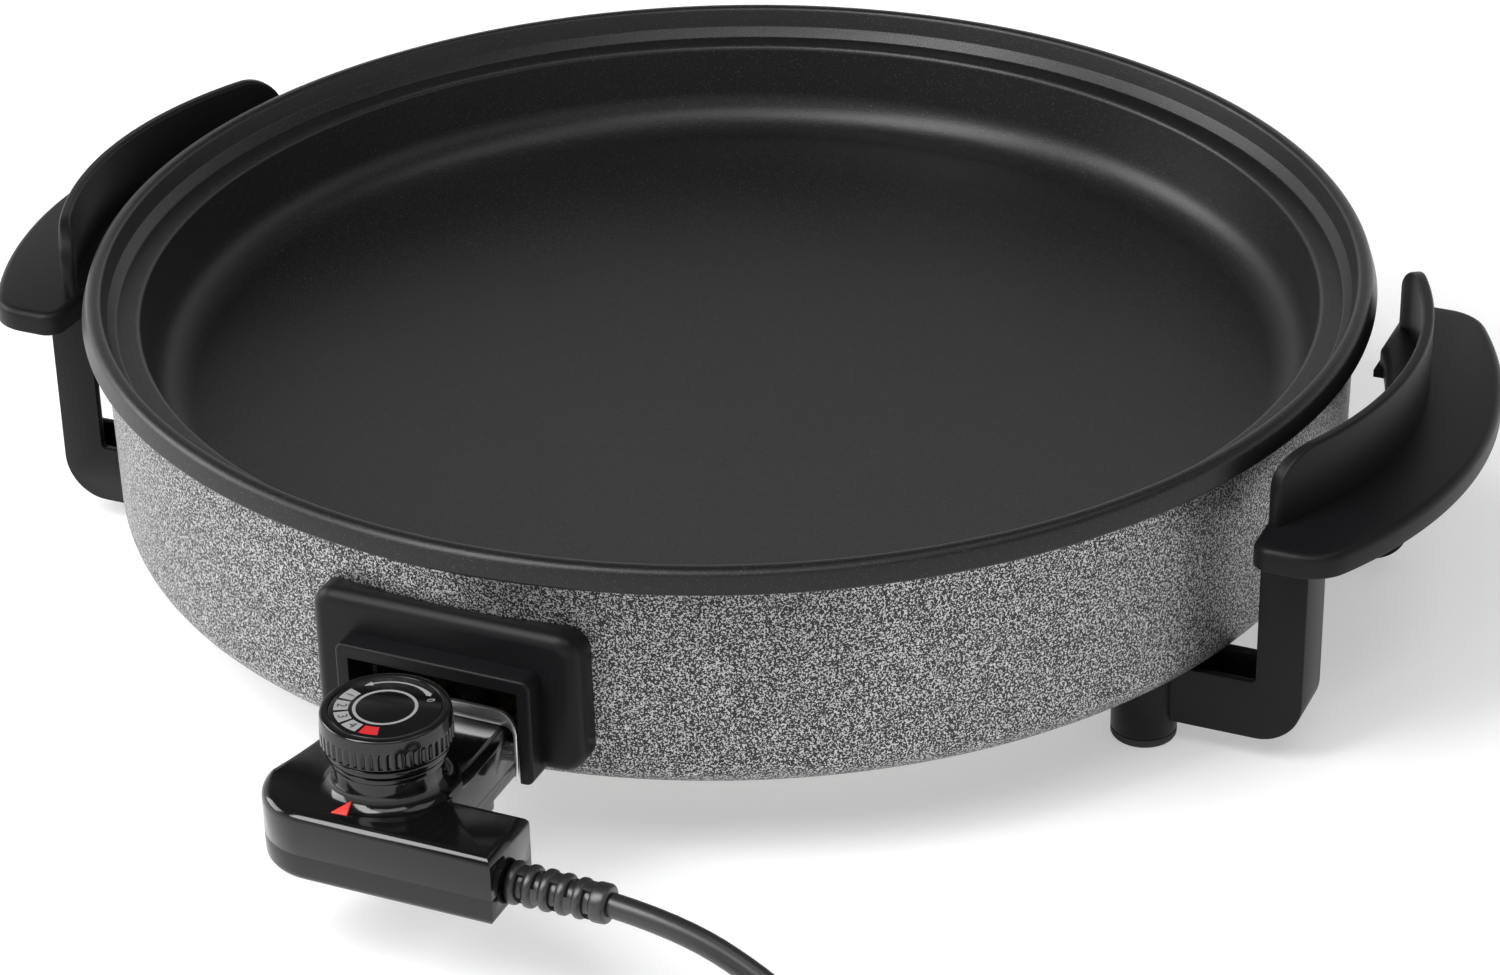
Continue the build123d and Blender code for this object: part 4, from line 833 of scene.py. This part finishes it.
# %% Plate of a grip
bow_x = 90.0 * MM
plate_low, plate_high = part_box("grip_right")
plate_top = 83.0 * MM
tip_y, bow_out, bow_in = plate_high.y - pan_axis.y, plate_high.x - bow_x, 119.6 * MM
inner_x, tip_out, tip_in = 198.2 * MM, 15.0 * MM, 6.0 * MM


def arc(centre_x, centre_y, radius, start, end, steps):
    """Points on an arc, angles in radians."""
    angles = [start + (end - start) * k / steps for k in range(steps + 1)]
    return [(centre_x + radius * math.cos(a), centre_y + radius * math.sin(a)) for a in angles]


def inset(outline, distance):
    """A closed outline moved inwards by a distance."""
    moved = []
    for k, (x, y) in enumerate(outline):
        along = (Vector(outline[(k + 1) % len(outline)]) - Vector(outline[k - 1])).normalized()
        moved.append((x - along.y * distance, y + along.x * distance))
    return moved


tip_x = bow_x + math.sqrt((bow_out - tip_out) ** 2 - (tip_y - tip_out) ** 2)
tip_angle = math.atan2(tip_y - tip_out, tip_x - bow_x)
half_outline = (
    arc(bow_x, 0, bow_out, 0, tip_angle, 30)
    + arc(tip_x, tip_y - tip_out, tip_out, tip_angle, math.pi / 2, 12)[1:]
    + arc(inner_x + tip_in, tip_y - tip_in, tip_in, math.pi / 2, math.pi, 8)
    + arc(bow_x, 0, bow_in, math.acos((inner_x - bow_x) / bow_in), 0, 24)
)
plate_outline = half_outline + [(x, -y) for x, y in half_outline[-2:0:-1]]
top_edge, under_edge = 2.6 * MM, 0.6 * MM
turns = [math.pi / 2 * k / 6 for k in range(7)]
layers = [(under_edge * (1 - math.sin(a)), plate_low.z + under_edge * (1 - math.cos(a))) for a in turns]
layers += [(top_edge * (1 - math.cos(a)), plate_top - top_edge * (1 - math.sin(a))) for a in turns]
plate = stacked([[(x, y, z) for x, y in inset(plate_outline, depth)] for depth, z in layers])
print("grip plate:", len(plate.polygons), "faces,", len(plate_outline), "points round")

# %% Finger guard
guard_out, blade, flange = 133.0 * MM, 3.6 * MM, 4.6 * MM
guard_mid = guard_out - blade / 2
half_span = math.radians(32.3) * guard_mid
shoulder_l, shoulder_h, nose, lip = 15.0 * MM, 14.0 * MM, 1.9 * MM, 1.1 * MM
root_z = plate_top - 3.2 * MM
near_end = [-half_span + v * MM for v in (
    0, 0.1, 0.3, 0.7, 1.2, 1.8, 2.4, 3.0, 3.8, 4.8, 6, 7.4, 9, 10.8, 12.4, 14)]
reach = -near_end[-1]
stations = near_end + [-reach + reach * k / 20 for k in range(1, 40)] + [-v for v in reversed(near_end)]


def guard_section(along):
    """Inner radius, outer radius and height of the wall at a distance along it."""
    from_end = half_span - abs(along)
    rise = max(0.0, 1 - from_end / shoulder_l)
    top = plate_high.z - shoulder_h * (1 - math.sqrt(1 - rise ** 2))
    thickness = blade + (flange - blade) * ease((12.5 * MM - from_end) / (9.0 * MM))
    pulled = nose - math.sqrt(nose ** 2 - max(0.0, nose - from_end) ** 2)
    return guard_out - thickness + pulled, guard_out - pulled, top


rings = []
for along in stations:
    inner, outer, top = guard_section(along)
    soft = min(lip, (outer - inner) * 0.49)
    rounding = [(soft * (1 - math.cos(a)), top - soft * (1 - math.sin(a))) for a in turns]
    profile = [(outer, root_z)] + [(outer - pull, z) for pull, z in rounding]
    profile += [(inner + pull, z) for pull, z in reversed(rounding)] + [(inner, root_z)]
    angle = along / guard_mid
    rings.append([(bow_x + r * math.cos(angle), r * math.sin(angle), z) for r, z in profile])
finger_wall = stacked(rings)
print("finger guard:", len(finger_wall.polygons), "faces at", len(stations), "stations")

# %% Both grips
for node, side in (("grip_right", 1), ("grip_left", -1)):
    form = joined(node + "_form", [plate, finger_wall])
    form.transform(Matrix.Translation(pan_axis) @ Matrix.Diagonal((side, 1, 1, 1)))
    if side < 0:
        form.flip_normals()
    smooth_by_angle(form, 45.0)
    stand_for(node + "_moulding", form, node, matt_black)
    print(node, len(form.polygons), "faces")

# %% [markdown]
# ## Screws
#
# Every screw has a low domed head with a cross recess. One head and its shank are turned, the recess is
# cut with two crossed bars, and a tree puts a copy on each seat. The heads look down. The two screws
# that hold the guard from inside the wall are hidden and keep their CAD form.


# %% Screws
def screw_shape(head_r, head_h, shank_r, shank_l):
    """A screw that stands on its shank's end: the head's underside is at height 0."""
    outline = [(0, head_h), (head_r, head_h * 0.72), (head_r, 0), (shank_r, 0), (shank_r, -shank_l),
               (0, -shank_l)]
    outline = rounded(outline, [0, head_h * 0.3, 0, 0, shank_r * 0.25, 0], steps=3)
    body = lathe("screw", outline, Vector((0, 0, 0)), segments=28)
    half_l, half_w = head_r * 0.62, head_r * 0.13
    for turn in (0, 90):
        bar = prism("bar", rectangle(-half_l, half_l, -half_w, half_w), head_h * 0.35, head_h * 1.5)
        bar.transform(Matrix.Rotation(math.radians(turn), 4, "Z"))
        body = carved("screw", body, bar)
    return body


def seats(name, places, directions):
    """A mesh of loose points, each with the direction in which its screw stands."""
    mesh = bpy.data.meshes.new(name)
    mesh.from_pydata([tuple(place) for place in places], [], [])
    stands = mesh.attributes.new("stands_along", "FLOAT_VECTOR", "POINT")
    for row, direction in zip(stands.data, directions):
        row.vector = tuple(direction)
    return mesh


def spread(node, head_r):
    """The four corners at which a node's screws stand, read from its box."""
    low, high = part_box(node)
    return [(x, y) for x in (low.x + head_r, high.x - head_r) for y in (low.y + head_r, high.y - head_r)]


head_r, head_h, case_head, case_h = 3.8 * MM, 2.6 * MM, 2.7 * MM, 2.0 * MM
case_low, case_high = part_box("case_screws")
case_spots = [
    (case_low.x + case_head, pan_axis.y - 246.5 * MM), (33.0 * MM, case_low.y + case_head),
    (15.5 * MM, case_high.y - case_head),
]
for node, spots, r, h, shank_r in (
    ("leg_screws", spread("leg_screws", head_r), head_r, head_h, 2.0 * MM),
    ("grip_screws", spread("grip_screws", head_r), head_r, head_h, 2.0 * MM),
    ("case_screws", case_spots, case_head, case_h, 1.5 * MM),
):
    low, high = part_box(node)
    stands = seats(node, [(x, y, low.z + h) for x, y in spots], [(0, 0, -1)] * len(spots))
    one_screw = screw_shape(r, h, shank_r, high.z - low.z - h)
    screws = grown(node + "_set", point_tree, one_screw, {"Spin": 0.7, "Finish": zinc}, stands)
    stand_for(node + "_set", screws, node, zinc)
    print(node, len(spots), "screws")

# %% [markdown]
# ## Inside and underneath
#
# The remaining metal and ceramic parts keep their CAD form and get their finish. They are seen through
# the vents, through the socket's mouth and when the thermostat is pulled out.

# %% Dressed CAD parts
plain = {
    zinc: ("base_plate", "base_stud", "base_nut", "element_clips", "clip_nuts", "terminal_bracket",
           "guard_screws", "leg_nuts"),
    burnt_steel: ("heating_element",),
    brass: ("terminal_pins", "contact_sleeves"),
    nickel: ("plug_pins", "plug_earth_clips"),
    probe_steel: ("probe_rod", "knob_shaft"),
    steatite: ("switch_block",),
    # the terminal block's near black is partly painted shade in the socket's mouth
    dark_ceramic: ("terminal_block",),
}
for material, nodes in plain.items():
    for node in nodes:
        dress(node, material)
print("dressed:", sum(len(nodes) for nodes in plain.values()), "nodes")

# %% [markdown]
# ## The thermostat
#
# Two shells meet at a parting line half way up. Both are moulded in polished black, so their large
# rounds matter most. The steel band round the neck steadies it in the socket.

# %% Thermostat housing
for node in ("thermostat_top", "thermostat_base"):
    form = moulded(node, edge=0.22 * MM)
    stand_for(node + "_shell", form, node, gloss_black)
    print(node, len(form.polygons), "faces")
stand_for("neck_steel_band", moulded("neck_band", edge=0.3 * MM), "neck_band", bright_band)
stand_for("red_pointer", moulded("pointer_lens", edge=0.12 * MM), "pointer_lens", pointer_red)

# %% [markdown]
# ## The knob
#
# The knob is turned, apart from its flutes. Above the flutes runs a smooth band, below them a plain ring
# and the stepped collar. One flute is a narrow slice of the skirt with a round groove in it, whose end
# runs out under the band. The tree sets forty-eight of them in a ring.

# %% Knob
knob_low, knob_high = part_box("control_knob")
knob_foot, knob_top = knob_low.z, knob_high.z
skirt_r = (knob_high.x - knob_low.x) / 2
skirt = skirt_r / MM
flute_low, flute_high = knob_top - 8.8 * MM, knob_top - 3.9 * MM
turned_outline = rounded(
    [(r * MM, knob_foot + z * MM) for r, z in (
        (0, 0), (16.2, 0), (16.2, 1.8), (15.3, 1.8), (15.3, 2.6), (17.2, 2.6), (17.2, 4.8), (16.3, 4.8))]
    + [(r * MM, knob_top - z * MM) for r, z in (
        (16.3, 9.4), (skirt, 9.4), (skirt, 8.8), (17.0, 8.8), (17.0, 3.9), (skirt, 3.9),
        (skirt - 0.35, 0), (15.7, 0), (15.7, 0.8), (0, 0.8))],
    [v * MM for v in (0, 0.4, 0.4, 0, 0, 0.6, 0.6, 0, 0, 0.5, 0, 0, 0, 0, 0.9, 0.25, 0, 0)],
    steps=4,
)
knob_body = lathe("knob_body", turned_outline, knob_axis, segments=192)

flute_count, groove = 48, 0.50 * MM
half_slice = math.pi / flute_count
# how much of the groove's depth is left at each distance below the flutes' top
run_out = [(1, flute_high - flute_low), (1, 1.3 * MM), (0.9, 0.9 * MM), (0.45, 0.4 * MM), (0, 0)]
columns = []
for k in range(13):
    across = 1 - k / 6
    dip = groove * (0.5 + 0.5 * math.cos(math.pi * min(1.0, abs(across) / 0.7)))
    rows = [(17.0 * MM, flute_low)] + [(skirt_r - dip * left, flute_high - z) for left, z in run_out]
    columns.append([towards(across * half_slice) * r + Vector((0, 0, z)) for r, z in rows])
one_flute = stacked(columns, "one_flute", closed=False)
flutes = grown(
    "flutes", row_tree, one_flute,
    {"Copies": flute_count, "First place": tuple(knob_axis), "Step": (0, 0, 0), "Axis": (0, 0, 1),
     "Turn": 2 * math.pi / flute_count, "Finish": gloss_black},
)
knob = stand_for("knob", joined("knob", [knob_body, flutes]), "control_knob", gloss_black)
print("knob:", len(knob.data.polygons), "faces")

# %% [markdown]
# ## The dial
#
# The printed disc sits in a shallow recess of the knob. Its marks are ink lying on the disc: a ring,
# four pale cells and a red one, and an arrow that shows both ways of turning. Each mark is a flat band
# between two radii. The numbers stand in the cells with their heads towards the middle.

# %% Dial
dial_low, dial_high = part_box("knob_dial")
dial_z = dial_high.z - 0.15 * MM
dial_outline = rounded(rectangle(0, 15.6 * MM, dial_low.z, dial_z), [0, 0, 0.3 * MM, 0], steps=3)
stand_for("dial_disc", lathe("dial_disc", dial_outline, knob_axis, segments=96), "knob_dial", gloss_black)
ink_z = dial_z + 0.03 * MM


def dial_point(angle, radius, height):
    """A point over the dial, at an angle in degrees."""
    return knob_axis + towards(math.radians(angle)) * radius + Vector((0, 0, height))


def band(from_angle, to_angle, edges, steps=24):
    """A flat mark on the dial: edges gives its inner and outer radius at each share of the way."""
    pairs = []
    for k in range(steps + 1):
        angle = from_angle + (to_angle - from_angle) * k / steps
        pairs.append([dial_point(angle, radius, ink_z) for radius in edges(k / steps)])
    return stacked(pairs, "mark", closed=False)


def arrow_edges(share):
    """Both edges of the turning arrow: a head at the left end, a swelling bar and head at the right."""
    middle, half = 13.0 * MM, 0.32 * MM
    if share > 0.88:
        half = 1.1 * MM * (1 - share) / 0.12
    elif share < 0.06:
        half = 1.25 * MM * share / 0.06
    elif share < 0.30:
        half = (0.75 - 0.43 * (share - 0.06) / 0.24) * MM
    return middle - half, middle + half


pale_marks = [
    band(0, 360, lambda share: (8.1 * MM, 9.0 * MM), steps=96),
    band(47, 144, arrow_edges, steps=100),
]
cell_angles = (170, 197, 224, 251, 278)
cells = [band(a - 11.3, a + 11.3, lambda share: (10.1 * MM, 14.1 * MM), steps=10) for a in cell_angles]


def numeral(text, angle, radius, size):
    """A flat printed figure on the dial, its head towards the middle."""
    curve = bpy.data.curves.new("numeral", "FONT")
    curve.body = text
    curve.size = size
    curve.align_x, curve.align_y = "CENTER", "CENTER"
    curve.resolution_u = 4
    mesh = evaluated_mesh(add_object("numeral", curve), "numeral")
    place = Matrix.Translation(dial_point(angle, radius, ink_z + 0.02 * MM))
    mesh.transform(place @ Matrix.Rotation(math.radians(angle + 90), 4, "Z"))
    return mesh


figures = [numeral(text, angle, 12.1 * MM, 3.9 * MM) for text, angle in zip("1234", cell_angles)]
nought = numeral("0", 38, 12.8 * MM, 3.2 * MM)
for name, marks, ink in (
    ("pale_marks", pale_marks + cells[:4], pale_ink), ("red_mark", cells[4:], red_ink),
    ("cell_figures", figures, dark_ink), ("nought", [nought], pale_ink),
):
    place_object(name, joined(name, marks), "knob", ink)
print("dial marks at height", round(ink_z / MM, 2), "mm")

# %% [markdown]
# ## The cord's sleeve
#
# Where the cord leaves the housing, a soft ribbed sleeve keeps it from kinking. Its ribs are discs on
# a core, each a little smaller than the last. Two webs join neighbouring ribs in every gap, and stand
# across those of the gap before, so the sleeve bends both ways. The tree sets the webs.

# %% Ribbed sleeve
sleeve_low, sleeve_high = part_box("strain_relief")
sleeve_axis = Vector((0, pan_axis.y - 256.0 * MM, 39.0 * MM))
rib_count, sleeve_start = 6, 47.3 * MM
rib_pitch = (sleeve_high.x - sleeve_start) / rib_count


def rib_r(x):
    """Radius over the ribs, tapering from the housing to the sleeve's end."""
    return (6.2 - 0.6 * (x - sleeve_start) / (rib_count * rib_pitch)) * MM


profile, softness = [(0, sleeve_low.x), (5.4 * MM, sleeve_low.x), (5.4 * MM, sleeve_start - 2.3 * MM),
                     (4.5 * MM, sleeve_start - 2.3 * MM), (4.5 * MM, sleeve_start)], [0, 0, 0, 0, 0]
for rib in range(rib_count):
    x = sleeve_start + rib * rib_pitch
    far = x + rib_pitch if rib == rib_count - 1 else x + 0.62 * rib_pitch
    profile += [(rib_r(x), x + 0.02 * MM), (rib_r(far), far)]
    softness += [1.2 * MM, 1.2 * MM]
    if rib < rib_count - 1:
        profile += [(4.0 * MM, far), (4.0 * MM, x + rib_pitch)]
        softness += [0.35 * MM, 0.35 * MM]
profile += [(0, sleeve_high.x)]
softness += [0]
ribs = lathe("ribs", rounded(profile, softness, steps=4), Vector((0, 0, 0)), segments=64)
# turned about the vertical, then laid down along the cord
ribs.transform(Matrix.Translation(sleeve_axis) @ Matrix.Rotation(math.radians(90), 4, "Y"))

web_half = math.radians(28)
web_angles = [web_half * k / 4 for k in range(-4, 5)]
ring = [(5.3 * MM * math.sin(a), 5.3 * MM * math.cos(a)) for a in web_angles]
ring += [(3.7 * MM * math.sin(a), 3.7 * MM * math.cos(a)) for a in reversed(web_angles)]
web_ends = (-0.35 * MM, 0.38 * rib_pitch + 0.35 * MM)
one_web = joined("one_web", [
    stacked([[(x, side * y, side * z) for y, z in ring] for x in web_ends]) for side in (1, -1)])
first_gap = (sleeve_start + 0.62 * rib_pitch, sleeve_axis.y, sleeve_axis.z)
webs = grown(
    "webs", row_tree, one_web,
    {"Copies": rib_count - 1, "First place": first_gap, "Step": (rib_pitch, 0, 0), "Axis": (1, 0, 0),
     "Turn": math.pi / 2, "Finish": soft_black},
)
sleeve = stand_for("ribbed_sleeve", joined("ribbed_sleeve", [ribs, webs]), "strain_relief", soft_black)
print("sleeve:", len(sleeve.data.polygons), "faces, pitch", round(rib_pitch / MM, 2), "mm")

# %% [markdown]
# ## The plug
#
# The earthed plug is moulded on the cord in the same soft black. Its form comes from the CAD, with the
# edges rounded as a soft moulding's are.

# %% Plug
stand_for("plug_moulding", moulded("plug_body", edge=0.5 * MM, angle=50.0), "plug_body", soft_black)
stand_for("plug_sleeve", moulded("plug_relief", edge=0.3 * MM, angle=50.0), "plug_relief", soft_black)

# %% The cord's finish, and the cord riding on the thermostat
cord_curve.materials.append(soft_black)
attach(mains_cord, "thermostat")
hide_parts("cord", "cord_coil")
